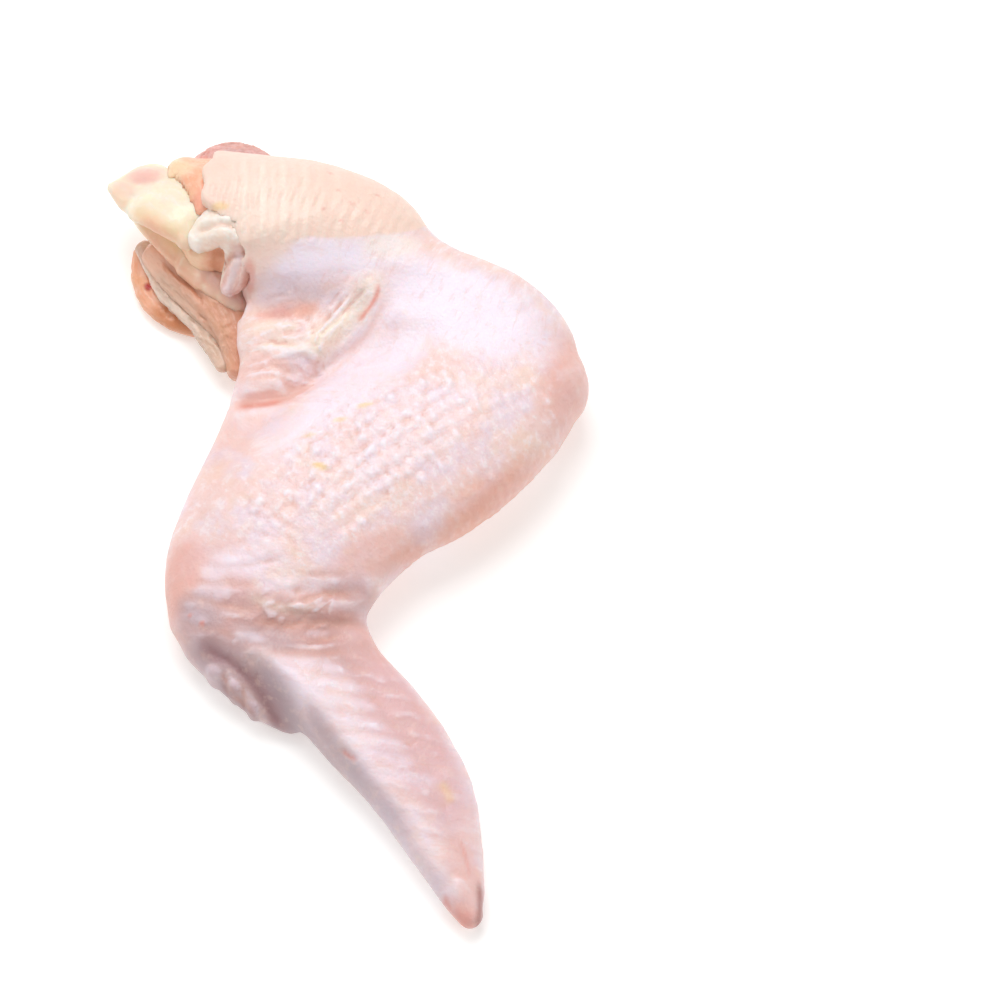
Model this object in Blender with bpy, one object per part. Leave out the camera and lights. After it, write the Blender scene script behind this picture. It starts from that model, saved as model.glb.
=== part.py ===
"""Raw chicken wing, whole and skin on, lying folded in a Z on its underside.

The drumette, the flat and the tip are one skin-covered solid. At the cut shoulder the skin is an open
sleeve, and the meat, fat, gristle and membrane that show there are solids of their own.
Lengths are in millimetres until a mesh is finished. +Z is up, the wing rests on Z = 0, and the origin
is the middle of the underside of its box.
"""

import math
from collections import namedtuple

import bmesh
import bpy
import numpy as np
from mathutils import Matrix, Vector

MILLIMETRE = 0.001

# One stop on a limb's centre line: where it is, half its width, and how far it goes up and down.
Stop = namedtuple("Stop", "x y z half_width rise drop")

# A line on the upper side that sinks into the skin, or stands up from it where the depth is negative.
Fold = namedtuple("Fold", "depth half_width points")

# A piece of the shoulder: its limbs, fused where there are several, its colour and its roughness.
Piece = namedtuple("Piece", "name limbs colour roughness")

# How finely a limb is lofted: sides round it, rings for each span, and rings that close each end.
Loft = namedtuple("Loft", "sides per_span end_rings")

# The wing's own limbs, each as the shape of the skin over it.
DRUMETTE = [
    Stop(-32.5, 66, 14, 12.5, 12, 14),
    Stop(-17.5, 63, 14, 14, 12, 14.5),
    Stop(-7, 61, 13.5, 14.6, 12, 14.5),
    Stop(3, 58, 13, 13.4, 11, 14),
    Stop(11.5, 53.5, 12.5, 10, 10, 13),
    Stop(21, 49, 11.5, 9, 10, 11.5),
    Stop(30.5, 44, 11, 9.5, 10, 11),
    Stop(37, 37, 10.5, 9, 9.5, 11),
    Stop(39.5, 30, 10, 7, 7.5, 10),
]
FLAT = [
    Stop(40.5, 32, 10, 10, 9, 10.5),
    Stop(33.5, 27.5, 10.5, 15, 10, 11.5),
    Stop(24.5, 22.5, 11, 19, 10.5, 11.5),
    Stop(13.5, 16, 11, 21, 10.5, 11.5),
    Stop(2.5, 9, 10.5, 20.5, 10, 11),
    Stop(-7.8, -0.7, 10, 20.8, 9.5, 10),
    Stop(-14, -10, 9, 19.8, 8.5, 9.5),
    Stop(-20.5, -17.5, 8, 11, 7.5, 8.5),
]
LEADING_EDGE = [
    Stop(-12, 40.5, 8.5, 7.5, 6, 8),
    Stop(-13.5, 30, 8, 8.5, 6.5, 8),
    Stop(-15.5, 20, 7.5, 9, 7, 7.5),
    Stop(-22.5, -0.5, 7.5, 10, 7, 8),
    Stop(-24.5, -10, 7.5, 10, 7, 8),
    Stop(-23, -18.5, 7, 10.5, 7, 7.5),
]
WEB = [
    Stop(-14, 43.5, 9.5, 11.5, 6, 9),
    Stop(-6, 42, 10.5, 10, 6.5, 10),
    Stop(2.5, 43, 11.5, 8.5, 7, 10.5),
    Stop(12, 43, 12.5, 8.5, 8, 12),
    Stop(22, 39, 12.5, 8, 8.5, 12),
    Stop(31, 35, 11.5, 7, 8.5, 11),
]
WEB_FOLD = [
    Stop(-19, 35, 9, 2.7, 3.9, 6),
    Stop(-13, 34, 10, 3.1, 5.5, 6),
    Stop(-7, 35, 11, 3.2, 6.5, 6),
    Stop(-3, 38, 12.5, 3.2, 6.5, 6),
    Stop(1, 43.5, 13.5, 3.1, 6.5, 6),
    Stop(5, 49, 14, 2.5, 6, 6),
]
HAND_BONE = [
    Stop(-21.5, -18.5, 7, 11, 7, 8),
    Stop(-13, -25, 7, 10, 7, 7.5),
    Stop(-4, -34, 6.5, 8, 7, 7),
    Stop(4, -44, 5.5, 7, 6.2, 6),
    Stop(12, -54.5, 5, 6, 5.5, 5.5),
    Stop(22.5, -73, 3.9, 3.9, 3.6, 4),
    Stop(25.5, -79, 3.4, 2.4, 2.5, 3.4),
]
HAND_BLADE = [
    Stop(-7, -18, 7, 11.5, 6.5, 7.5),
    Stop(0, -28.5, 5.5, 8.2, 5.2, 6),
    Stop(7.5, -38.5, 5, 8.9, 4.8, 5),
    Stop(14, -48.5, 4.5, 9.2, 4, 4.5),
    Stop(19.5, -58.5, 4, 7.6, 3.6, 4),
    Stop(25, -75, 3.4, 3.2, 2.7, 3.4),
]
THUMB = [
    Stop(-25, -22.5, 5.5, 6.5, 4.5, 6),
    Stop(-20, -30, 5, 4.5, 4, 5),
    Stop(-14, -35.5, 4, 3.7, 3.4, 4),
    Stop(-9, -39.5, 3.4, 2.2, 2.4, 3.4),
]
BODY_LIMBS = [DRUMETTE, FLAT, LEADING_EDGE, WEB, WEB_FOLD, HAND_BONE, HAND_BLADE, THUMB]

# What shows at the cut shoulder. The muscle runs on inside the drumette.
ARM_MEAT = [
    Stop(13.5, 52.5, 12.5, 6, 6, 8),
    Stop(5, 56.5, 13, 9.5, 8.5, 11),
    Stop(-5.5, 60, 13.5, 11.5, 9.5, 12),
    Stop(-23, 65, 14, 11.5, 9.5, 12),
    Stop(-29, 69, 14, 10, 8.5, 10),
    Stop(-33.5, 71.5, 14, 8, 5.5, 8),
]
SHOULDER_SLIP = [
    Stop(-31, 78, 11, 2.2, 1.9, 2.5),
    Stop(-26.5, 80, 12, 3.1, 2.5, 3.8),
    Stop(-22.5, 80.5, 12, 3.2, 2.5, 4),
    Stop(-18, 79, 12, 2.7, 2.2, 3.8),
    Stop(-14.5, 77, 12, 1.7, 1.7, 2.5),
]
FAT_FLAP = [
    Stop(-48, 73, 13, 0.8, 0.7, 0.7),
    Stop(-45, 72.5, 13, 3.9, 1.5, 1.4),
    Stop(-41, 71.5, 14.5, 6.5, 2, 1.7),
    Stop(-37, 68.5, 17, 7.5, 2.4, 2),
    Stop(-32.5, 63.5, 19.5, 7, 2.4, 2.4),
    Stop(-29.5, 59.5, 19, 4.5, 2.2, 2.4),
]
FAT_DRAPE = [
    Stop(-39.5, 67.5, 12.5, 3.7, 2, 2),
    Stop(-35.5, 62.5, 12, 4.2, 2.2, 2.4),
    Stop(-30, 57, 11, 4, 2.2, 2.6),
    Stop(-25, 52.5, 10.5, 3.4, 2, 2.6),
    Stop(-21.5, 48.5, 9, 2, 1.6, 2),
]
GRISTLE = [
    Stop(-29.5, 57.5, 19.5, 2.2, 1.8, 2.6),
    Stop(-26.5, 59, 22.5, 3.4, 2, 3),
    Stop(-23, 58.5, 24, 3.4, 2, 3),
    Stop(-20.5, 55.5, 22, 2.8, 2, 3),
    Stop(-21.5, 51.5, 17.5, 2.6, 1.8, 3),
    Stop(-24, 49, 14, 1.8, 1.4, 2),
]
MEMBRANE = [
    Stop(-41.5, 63.5, 5.6, 1.6, 1, 1.2),
    Stop(-38.6, 58.5, 5.4, 2, 1, 1.2),
    Stop(-35.4, 53, 5.2, 2.4, 1, 1.2),
    Stop(-29.5, 46.5, 5, 2, 1, 1.2),
    Stop(-24.5, 37, 4.6, 1.4, 0.9, 1.1),
]
CHEST_MEAT = [
    Stop(-38.5, 61.5, 6.5, 3.5, 2.6, 4.5),
    Stop(-33, 56, 6.5, 4.6, 3.2, 5),
    Stop(-26, 50, 6.5, 5.4, 3.6, 5),
    Stop(-22, 43, 6, 4, 3.2, 4.5),
    Stop(-21.5, 35.5, 5.5, 2, 2, 3.6),
]
CHEST_FLAP = [
    Stop(-41.5, 64, 2.1, 2.3, 1.2, 1.7),
    Stop(-41, 58.5, 2.1, 2.9, 1.4, 1.8),
    Stop(-38.5, 53.5, 2.1, 3.4, 1.4, 1.8),
    Stop(-34.5, 49.5, 2, 3, 1.3, 1.7),
    Stop(-30.5, 47, 1.9, 1.8, 1.1, 1.5),
]

# The pieces of the shoulder, in the order in which they lie: each one leaves room for those before it.
SHOULDER_PIECES = [
    Piece("gristle", [GRISTLE], (0.91, 0.84, 0.80), 0.35),
    Piece("fat_flap", [FAT_FLAP, FAT_DRAPE], (0.93, 0.75, 0.50), 0.35),
    Piece("arm_meat", [ARM_MEAT], (0.90, 0.45, 0.28), 0.35),
    Piece("shoulder_slip", [SHOULDER_SLIP], (0.80, 0.42, 0.38), 0.35),
    Piece("membrane", [MEMBRANE], (0.66, 0.58, 0.50), 0.30),
    Piece("chest_meat", [CHEST_MEAT], (0.66, 0.38, 0.27), 0.35),
    Piece("chest_flap", [CHEST_FLAP], (0.68, 0.33, 0.17), 0.35),
]
SKIN_COLOUR = (0.92, 0.76, 0.72)
SKIN_ROUGHNESS = 0.35

# Where the skin of the shoulder is cut: what lies left of this line, out to OFFCUT_X, is taken away.
SLEEVE_RIM = [
    (-20, 90),
    (-23, 81),
    (-26.5, 75),
    (-28, 70),
    (-28, 64),
    (-25.5, 60),
    (-22, 57),
    (-20.5, 52),
    (-20, 44),
]
RIM_STEPS = 8
RIM_WAVE = 0.5
RIM_WAVE_LENGTH = 6.5
OFFCUT_X = -70
OFFCUT_Z = (-10, 40)

# The thick, plucked band of skin round the drumette, which ends in a step on this line.
CUFF_EDGE = [(-30, 54), (-15, 54), (-3, 55), (9, 56.5), (14, 59), (17, 64)]
CUFF_HEIGHT = 1.2
CUFF_STEP = 1.2
CUFF_LOW_Z = (9, 13)

# Folds of the skin on the wing's upper side. A fold begins where a face turns up by the first share of
# FOLD_UPWARD and has its whole depth from the second.
FOLD_STEPS = 6
FOLD_UPWARD = (0.0, 0.5)
FOLDS = [
    Fold(1.4, 2.2, [(5, 43), (1.4, 38.5), (-2, 34.4), (-6.4, 30.8), (-12.2, 26.8), (-19.3, 25.6)]),
    Fold(1.2, 1.5, [(-8, -17), (-2, -17), (3, -16)]),
    Fold(1.2, 1.4, [(-9, -21.5), (-1, -21.5), (6, -20.5)]),
    Fold(0.8, 1.3, [(-15, -24.5), (-8, -25.5), (0, -24)]),
    Fold(0.9, 1.6, [(-25, -17.5), (-21, -19.5), (-16, -19.5)]),
    Fold(1.1, 1.8, [(-24, -26.5), (-20, -29), (-14.7, -33.7), (-9, -39.5)]),
    Fold(-0.8, 1.8, [(-15, -29), (-3.5, -39.5), (8, -55.5), (18.5, -71.5)]),
    Fold(1.0, 3.0, [(42, 36), (43, 33)]),
]

# A limb's section is an ellipse at a squareness of 2 and squarer above it. Its end reaches out by
# END_REACH of its smaller size there, and the last ring stops END_SHORT of a ring before the pole.
FUSED_LOFT = Loft(28, 6, 4)
PLAIN_LOFT = Loft(16, 2, 2)
SQUARENESS = 2.2
END_REACH = 0.7
END_SHORT = 0.4

# Mesh size, rounds of softening and number of triangles, for the body's skin and a fused small piece.
BODY_VOXEL = 1.1
BODY_RELAX = 4
SKIN_RELAX = 2
BODY_TRIANGLES = 6800
SMALL_VOXEL = 0.7
SMALL_RELAX = 3
SMALL_TRIANGLES = 800
RELAX_SHARE = 0.5

# The room between pieces, the length below which a sliver is merged, and the height pressed flat.
GAP = 0.35
MERGE = 0.004
SETTLE_Z = 0.15


def between(a, b, c, d, t):
    """Catmull-Rom value between b and c, at the share t of the way."""
    return 0.5 * (
        2 * b + (c - a) * t + (2 * a - 5 * b + 4 * c - d) * t * t + (3 * b - a - 3 * c + d) * t**3
    )


def smooth_rows(rows, per_span):
    """The rows of numbers with more of them put in on a smooth curve through them."""
    rows = np.array(rows, float)
    padded = np.vstack([2 * rows[0] - rows[1], rows, 2 * rows[-1] - rows[-2]])
    fine = [
        between(*padded[i : i + 4], k / per_span) for i in range(len(rows) - 1) for k in range(per_span)
    ]
    fine.append(rows[-1])
    return np.array(fine)


def add_limb(mesh, stops, loft, grow):
    """Lofts one closed limb with rounded ends into mesh, a bmesh in millimetres."""
    fine = [Stop(*row) for row in smooth_rows(stops, loft.per_span)]
    rings = []

    def add_ring(stop, along, across, scale):
        """Adds one ring of points round a stop, pushed along the limb and scaled."""
        points = []
        centre = Vector((stop.x, stop.y, stop.z)) + along
        for k in range(loft.sides):
            angle = 2 * math.pi * k / loft.sides
            side, up = math.cos(angle), math.sin(angle)
            round_off = (abs(side) ** SQUARENESS + abs(up) ** SQUARENESS) ** (-1 / SQUARENESS)
            height = (stop.rise if up > 0 else stop.drop) + grow
            reach = side * round_off * (stop.half_width + grow) * scale
            lift = up * round_off * height * scale
            points.append(mesh.verts.new(centre + across * reach + Vector((0, 0, lift))))
        rings.append(points)

    def add_end(stop, forward, across, steps):
        """Adds the rings that close one end of the limb."""
        reach = END_REACH * min(stop.half_width, stop.rise + stop.drop) + grow
        for k in steps:
            angle = 0.5 * math.pi * (abs(k) - END_SHORT) / loft.end_rings
            add_ring(stop, math.copysign(reach, k) * math.sin(angle) * forward, across, math.cos(angle))

    for i, stop in enumerate(fine):
        ahead, behind = fine[min(i + 1, len(fine) - 1)], fine[max(i - 1, 0)]
        forward = Vector((ahead.x - behind.x, ahead.y - behind.y, 0)).normalized()
        across = Vector((-forward.y, forward.x, 0))
        if i == 0:
            add_end(stop, forward, across, range(-loft.end_rings, 0))
        add_ring(stop, Vector(), across, 1.0)
        if i == len(fine) - 1:
            add_end(stop, forward, across, range(1, loft.end_rings + 1))
    for first, second in zip(rings, rings[1:]):
        for k in range(loft.sides):
            j = (k + 1) % loft.sides
            mesh.faces.new((first[k], second[k], second[j], first[j]))
    mesh.faces.new(rings[0])
    mesh.faces.new(rings[-1][::-1])


def limb_mesh(name, limbs, loft, grow):
    """A mesh of these limbs, each a closed solid with its faces pointing out."""
    work = bmesh.new()
    for stops in limbs:
        add_limb(work, stops, loft, grow)
    bmesh.ops.recalc_face_normals(work, faces=work.faces)
    mesh = bpy.data.meshes.new(name)
    work.to_mesh(mesh)
    work.free()
    return mesh


def new_object(name, mesh):
    """An object in the scene that holds this mesh."""
    made = bpy.data.objects.new(name, mesh)
    bpy.context.scene.collection.objects.link(made)
    return made


def evaluated(made):
    """The object's mesh as its modifiers make it; the object itself is removed."""
    graph = bpy.context.evaluated_depsgraph_get()
    mesh = bpy.data.meshes.new_from_object(made.evaluated_get(graph))
    bpy.data.objects.remove(made)
    return mesh


def fused(name, limbs, voxel, grow=0.0):
    """Joins the limbs into one closed skin by a voxel remesh."""
    made = new_object(name, limb_mesh(name, limbs, FUSED_LOFT, grow))
    remesh = made.modifiers.new("Fuse", "REMESH")
    remesh.mode = "VOXEL"
    remesh.voxel_size = voxel
    return evaluated(made)


def softened(name, mesh, relax):
    """The mesh softened where its limbs meet."""
    made = new_object(name, mesh)
    soft = made.modifiers.new("Soften", "SMOOTH")
    soft.factor = RELAX_SHARE
    soft.iterations = relax
    return evaluated(made)


def thinned(name, mesh, triangles):
    """A mesh of four-sided faces with about this many triangles left."""
    made = new_object(name, mesh)
    fewer = made.modifiers.new("Thin", "DECIMATE")
    fewer.ratio = triangles / (2 * len(mesh.polygons))
    return evaluated(made)


def cut(name, mesh, cutters):
    """The mesh with every cutter's space taken out of it."""
    made = new_object(name, mesh)
    tools = [new_object("room", cutter) for cutter in cutters]
    for tool in tools:
        taken = made.modifiers.new("Cut", "BOOLEAN")
        taken.operation = "DIFFERENCE"
        taken.solver = "EXACT"
        taken.object = tool
    result = evaluated(made)
    for tool in tools:
        bpy.data.objects.remove(tool)
    return result


def piece_mesh(piece, grow):
    """A piece before its neighbours are cut out of it or, where it is grown, the room that it takes."""
    if len(piece.limbs) == 1:
        return limb_mesh(piece.name, piece.limbs, PLAIN_LOFT, grow)
    mesh = softened(piece.name, fused(piece.name, piece.limbs, SMALL_VOXEL, grow), SMALL_RELAX)
    return thinned(piece.name, mesh, SMALL_TRIANGLES)


def smooth_step(value, low, high):
    """0 below low, 1 above high, and a soft ramp between."""
    share = np.clip((value - low) / (high - low), 0, 1)
    return share * share * (3 - 2 * share)


def distance_to_line(points, line):
    """How far each point (x, y) is from a line of points, and which side: positive above the line."""
    nearest = np.full(len(points), np.inf)
    side = np.zeros(len(points))
    for start, end in zip(line, line[1:]):
        run = end - start
        share = np.clip((points - start) @ run / (run @ run), 0, 1)
        away = points - (start + share[:, None] * run)
        distance = np.linalg.norm(away, axis=1)
        closer = distance < nearest
        nearest[closer] = distance[closer]
        side[closer] = np.sign(run[0] * away[closer, 1] - run[1] * away[closer, 0])
    return nearest, side


def shape_skin(mesh):
    """Raises the cuff and sinks the folds into the skin."""
    count = len(mesh.vertices)
    places = np.empty(3 * count)
    mesh.vertices.foreach_get("co", places)
    places = places.reshape(-1, 3)
    normals = np.array([vertex.normal for vertex in mesh.vertices])
    faces_up = smooth_step(normals[:, 2], *FOLD_UPWARD)
    sink = np.zeros(count)
    for fold in FOLDS:
        distance, _ = distance_to_line(places[:, :2], smooth_rows(fold.points, FOLD_STEPS))
        sink += fold.depth * np.exp(-((distance / fold.half_width) ** 2)) * faces_up
    distance, side = distance_to_line(places[:, :2], smooth_rows(CUFF_EDGE, FOLD_STEPS))
    inside = smooth_step(distance * side, -0.5 * CUFF_STEP, 0.5 * CUFF_STEP)
    raised = CUFF_HEIGHT * inside * smooth_step(places[:, 2], *CUFF_LOW_Z)
    places += normals * raised[:, None]
    places[:, 2] -= sink
    mesh.vertices.foreach_set("co", places.ravel())


def settle(mesh):
    """Presses what reaches the table, or all but reaches it, flat on it."""
    for vertex in mesh.vertices:
        if vertex.co.z < SETTLE_Z:
            vertex.co.z = 0


def sleeve_offcut():
    """The block of space to the left of the sleeve's rim, with the rim's small waves."""
    low, high = OFFCUT_Z
    rim = smooth_rows(SLEEVE_RIM, RIM_STEPS)
    outline = [(x + RIM_WAVE * math.sin(2 * math.pi * y / RIM_WAVE_LENGTH), y) for x, y in rim]
    outline += [(OFFCUT_X, SLEEVE_RIM[-1][1]), (OFFCUT_X, SLEEVE_RIM[0][1])]
    work = bmesh.new()
    face = work.faces.new([work.verts.new((x, y, low)) for x, y in outline])
    made = bmesh.ops.extrude_face_region(work, geom=[face])["geom"]
    top = [part for part in made if isinstance(part, bmesh.types.BMVert)]
    bmesh.ops.translate(work, vec=(0, 0, high - low), verts=top)
    bmesh.ops.recalc_face_normals(work, faces=work.faces)
    mesh = bpy.data.meshes.new("sleeve_offcut")
    work.to_mesh(mesh)
    work.free()
    return mesh


def tidied(mesh):
    """The mesh in triangles, with slivers merged away and only its largest body kept."""
    work = bmesh.new()
    work.from_mesh(mesh)
    bmesh.ops.triangulate(work, faces=work.faces)
    bmesh.ops.remove_doubles(work, verts=work.verts, dist=MERGE)
    bmesh.ops.dissolve_degenerate(work, edges=work.edges, dist=MERGE)
    bmesh.ops.triangulate(work, faces=work.faces)
    left = set(work.faces)
    bodies = []
    while left:
        body, todo = set(), [left.pop()]
        while todo:
            face = todo.pop()
            body.add(face)
            for edge in face.edges:
                for other in edge.link_faces:
                    if other in left:
                        left.remove(other)
                        todo.append(other)
        bodies.append(body)
    scraps = [face for body in sorted(bodies, key=len)[:-1] for face in body]
    bmesh.ops.delete(work, geom=scraps, context="FACES")
    work.to_mesh(mesh)
    work.free()
    return mesh


def dress(made, colour, roughness):
    """Gives a piece its own material and smooth shading."""
    material = bpy.data.materials.new(made.name)
    material.use_nodes = True
    shader = material.node_tree.nodes["Principled BSDF"]
    shader.inputs["Base Color"].default_value = (*colour, 1.0)
    shader.inputs["Roughness"].default_value = roughness
    shader.inputs["Metallic"].default_value = 0.0
    made.data.materials.clear()
    made.data.materials.append(material)
    made.data.shade_smooth()


def main():
    """Clears the scene and builds the wing."""
    for old in list(bpy.data.objects):
        bpy.data.objects.remove(old)

    finished = []
    room = []
    for piece in SHOULDER_PIECES:
        mesh = piece_mesh(piece, 0.0)
        made = new_object(piece.name, tidied(cut(piece.name, mesh, room)))
        dress(made, piece.colour, piece.roughness)
        finished.append(made)
        room.append(piece_mesh(piece, GAP))

    skin = softened("wing_skin", fused("wing_skin", BODY_LIMBS, BODY_VOXEL), BODY_RELAX)
    shape_skin(skin)
    skin = thinned("wing_skin", softened("wing_skin", skin, SKIN_RELAX), BODY_TRIANGLES)
    settle(skin)
    made = new_object("wing_skin", tidied(cut("wing_skin", skin, [sleeve_offcut(), *room])))
    dress(made, SKIN_COLOUR, SKIN_ROUGHNESS)
    finished.append(made)

    corners = np.array([vertex.co for made in finished for vertex in made.data.vertices])
    low, high = corners.min(axis=0), corners.max(axis=0)
    centre = Vector(((low[0] + high[0]) / 2, (low[1] + high[1]) / 2, low[2]))
    for made in finished:
        made.data.transform(Matrix.Scale(MILLIMETRE, 4) @ Matrix.Translation(-centre))


main()
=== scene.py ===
"""Raw chicken wing: the skin, fat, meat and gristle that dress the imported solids.

Lengths in the tables are millimetres in the part's own frame: +X towards the elbow, +Y towards the
shoulder, +Z up from the table that the wing lies on. Meshes are in metres, as the frame is. Colours are
the usual screen values from 0 to 255.
"""

import logging
import math
from dataclasses import dataclass
from enum import Enum
from typing import Any, ClassVar

import bmesh
import bpy
import numpy as np
from bpy.types import Material, Mesh, Node, NodeSocket, NodeTree, Object
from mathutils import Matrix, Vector


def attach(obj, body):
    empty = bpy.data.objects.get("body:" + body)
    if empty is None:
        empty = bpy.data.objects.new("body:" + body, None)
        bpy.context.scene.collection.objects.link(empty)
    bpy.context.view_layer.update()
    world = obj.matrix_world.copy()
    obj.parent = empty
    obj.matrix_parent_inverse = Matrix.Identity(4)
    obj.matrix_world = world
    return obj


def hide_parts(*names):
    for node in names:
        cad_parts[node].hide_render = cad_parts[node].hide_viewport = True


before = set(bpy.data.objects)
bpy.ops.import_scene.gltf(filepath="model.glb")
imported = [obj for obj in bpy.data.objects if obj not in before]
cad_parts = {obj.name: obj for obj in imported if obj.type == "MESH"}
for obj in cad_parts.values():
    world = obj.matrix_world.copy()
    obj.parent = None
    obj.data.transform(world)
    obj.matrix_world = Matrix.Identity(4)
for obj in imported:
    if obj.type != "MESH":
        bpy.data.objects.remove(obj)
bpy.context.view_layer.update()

log = logging.getLogger("wing")

MM = 0.001
BODY = "root"
Point = tuple[float, float]
Line = tuple[Point, ...]
Rgb = tuple[int, int, int]

# Soft lines
LINE_STEPS = 6  # how many points a curve has for each span
FAR = 3  # how many widths away from a line its mark ends
FADE_START = -0.1  # how far along a line its mark starts
FADE_SHARE = 0.22  # the share of the line's length that it takes to be full

# Shaping
TABLE_GAP = 0.05  # the least height above the table
WELD = 0.002  # how near each other two corners are one
UPRIGHT = 0.45  # how far up a face looks where folds go in at full depth
LIP_ROOM = 1.9  # how far beside a fold its lip stands, in the fold's widths
HOLLOW_EDGES = 40  # how wide a hollow that takes painted shade may be, in edges
HOLLOW_DEPTH = (0.15, 1.0)  # how deep its painted shade starts and is darkest
HOLLOW_SHADE = 0.3  # how much painted crease shade a hollow takes
BLUR_EDGES = 6  # how far the edges of follicles and ribs are blurred
RELIEF_EDGES = 16  # how wide a bump that counts as relief may be, in edges; relief takes painted highlight and shade
RIM_EDGES = 60  # how wide a rim that takes neither painted highlight nor shade may be, in edges
RIM_HEIGHT = (0.35, 0.9)  # how high it starts to count less and no longer counts

# Where the masks of a finish start and end: on streaks from 0 to 1, and on the relief's height, where raised
# places take a painted highlight and sunken ones painted shade
PALE_STREAK = (0.5, 0.66)
DARK_STREAK = (0.34, 0.46)
RAISED = (0.02, 0.3)
TOO_HIGH = (0.35, 0.8)
SUNKEN = (-0.3, 0.0)


class Mark(Enum):
    """What a tissue carries from point to point to shape its relief and to place its painted highlight and
    shade, as mesh attributes.
    """

    FLOW = "flow"
    PLUCKED = "plucked"
    RIBBED = "ribbed"
    WRINKLED = "wrinkled"
    RELIEF = "relief"


class Tint(Enum):
    """The tints that are painted on a tissue, as mesh attributes: tones of the tissue, painted shade and
    painted highlights.
    """

    # Some stand in for light: blush, mauve, dusk and grey hold painted shade besides tones; peach holds painted
    # shade, warm reflected light and lifted shade besides tones; lilac and cream hold painted highlights
    # besides tones; pale and sheen are painted highlights; crease and shade are painted shade.
    BLUSH_AND_SHADE = "blush_and_shade"
    MAUVE_AND_SHADE = "mauve_and_shade"
    DUSK_AND_SHADE = "dusk_and_shade"
    SHEEN = "sheen"
    LILAC_AND_HIGHLIGHT = "lilac_and_highlight"
    CREAM_AND_HIGHLIGHT = "cream"
    CUFF = "cuff"
    GREY_AND_SHADE = "grey"
    CREASE = "crease"
    PEACH_AND_PAINTED_LIGHT = "peach_and_painted_light"
    TAN = "tan"
    SHADE = "shade"
    PALE_HIGHLIGHT = "pale"
    YOLK = "yolk"
    ROSE = "rose"
    CLAW = "claw"


class Slot(Enum):
    """The record's material slots."""

    SKIN = "skin"
    MEAT = "meat"
    FAT = "fat"
    GRISTLE = "gristle"
    MEMBRANE = "membrane"
    CHEST = "chest"
    FLAP = "flap"


# Shapes of numbers


def smooth_step(value: np.ndarray, low: float, high: float) -> np.ndarray:
    """A soft ramp from 0 to 1.

    Args:
        value: What is measured at each point.
        low: Where the ramp starts.
        high: Where it ends.

    Returns:
        0 up to low, 1 from high on, and a smooth rise between.
    """
    share = np.clip((value - low) / (high - low), 0, 1)
    return share * share * (3 - 2 * share)


def smooth_line(points: Line) -> np.ndarray:
    """A Catmull-Rom curve through a line's points.

    Args:
        points: The points that the curve goes through.

    Returns:
        The curve's points, one to a row.
    """
    rows = np.array(points, float)
    padded = np.vstack([2 * rows[0] - rows[1], rows, 2 * rows[-1] - rows[-2]])
    t = (np.arange(LINE_STEPS) / LINE_STEPS)[:, None]
    spans = []
    for a, b, c, d in zip(padded, padded[1:], padded[2:], padded[3:]):
        bent = (2 * a - 5 * b + 4 * c - d) * t**2 + (3 * b - a - 3 * c + d) * t**3
        spans.append(0.5 * (2 * b + (c - a) * t + bent))
    return np.vstack([*spans, rows[-1:]])


@dataclass(frozen=True)
class Track:
    """Where points lie beside a line.

    Attributes:
        distance: How far each point is from the line.
        side: Positive to the left of the line's run, negative to its right.
        along: The length of the line up to the nearest place on it.
        length: The whole line's length.
    """

    distance: np.ndarray
    side: np.ndarray
    along: np.ndarray
    length: float


def track(places: np.ndarray, line: np.ndarray) -> Track:
    """Measures points against a line in plan.

    Args:
        places: The points, of which x and y count.
        line: The line's points.

    Returns:
        Where the points lie beside the line.
    """
    flat = places[:, :2]
    distance = np.full(len(flat), np.inf)
    side = np.zeros(len(flat))
    along = np.zeros(len(flat))
    done = 0.0
    for start, end in zip(line, line[1:]):
        run = end - start
        length = float(np.linalg.norm(run))
        share = np.clip((flat - start) @ run / length**2, 0, 1)
        away = flat - (start + share[:, None] * run)
        reach = np.linalg.norm(away, axis=1)
        closer = reach < distance
        distance[closer] = reach[closer]
        side[closer] = np.sign(run[0] * away[closer, 1] - run[1] * away[closer, 0])
        along[closer] = done + share[closer] * length
        done += length
    return Track(distance, side, along, done)


def soft_line(places: np.ndarray, points: Line, width: float, offset: float = 0.0) -> np.ndarray:
    """A soft line over the points, or the two lines beside it.

    Args:
        places: The points, of which x and y count.
        points: The line.
        width: How far from the line it has nearly gone.
        offset: How far beside the line its two sides lie.

    Returns:
        1 on the line, falling to 0 beside it and towards its ends.
    """
    line = smooth_line(points)
    reach = offset + FAR * width
    flat = places[:, :2]
    near = np.all((flat > line.min(axis=0) - reach) & (flat < line.max(axis=0) + reach), axis=1)
    beside = track(places[near], line)
    to_end = np.minimum(beside.along, beside.length - beside.along)
    fade = smooth_step(to_end, FADE_START, FADE_SHARE * beside.length)
    values = np.zeros(len(places))
    values[near] = np.exp(-(((beside.distance - offset) / width) ** 2)) * fade
    return values


@dataclass(frozen=True)
class Fold:
    """A crease pressed into a tissue, or a ridge where the depth is negative.

    Attributes:
        depth: How deep it is in the middle.
        width: How far from its line it has nearly gone.
        points: Its line in plan.
        lip: How high the tissue swells beside it.
        stain: How much painted shade it lays along the crease.
    """

    depth: float
    width: float
    points: Line
    lip: float = 0.0
    stain: float = 0.0


@dataclass(frozen=True)
class Stroke:
    """A soft painted line.

    Attributes:
        width: How far from its line it has nearly gone.
        strength: Its value on the line.
        points: Its line in plan.
    """

    width: float
    strength: float
    points: Line

    def over(self, places: np.ndarray) -> np.ndarray:
        """Its value at each point.

        Args:
            places: The points.

        Returns:
            The strength on the line, falling to 0 beside it and towards its ends.
        """
        return self.strength * soft_line(places, self.points, self.width)


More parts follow.
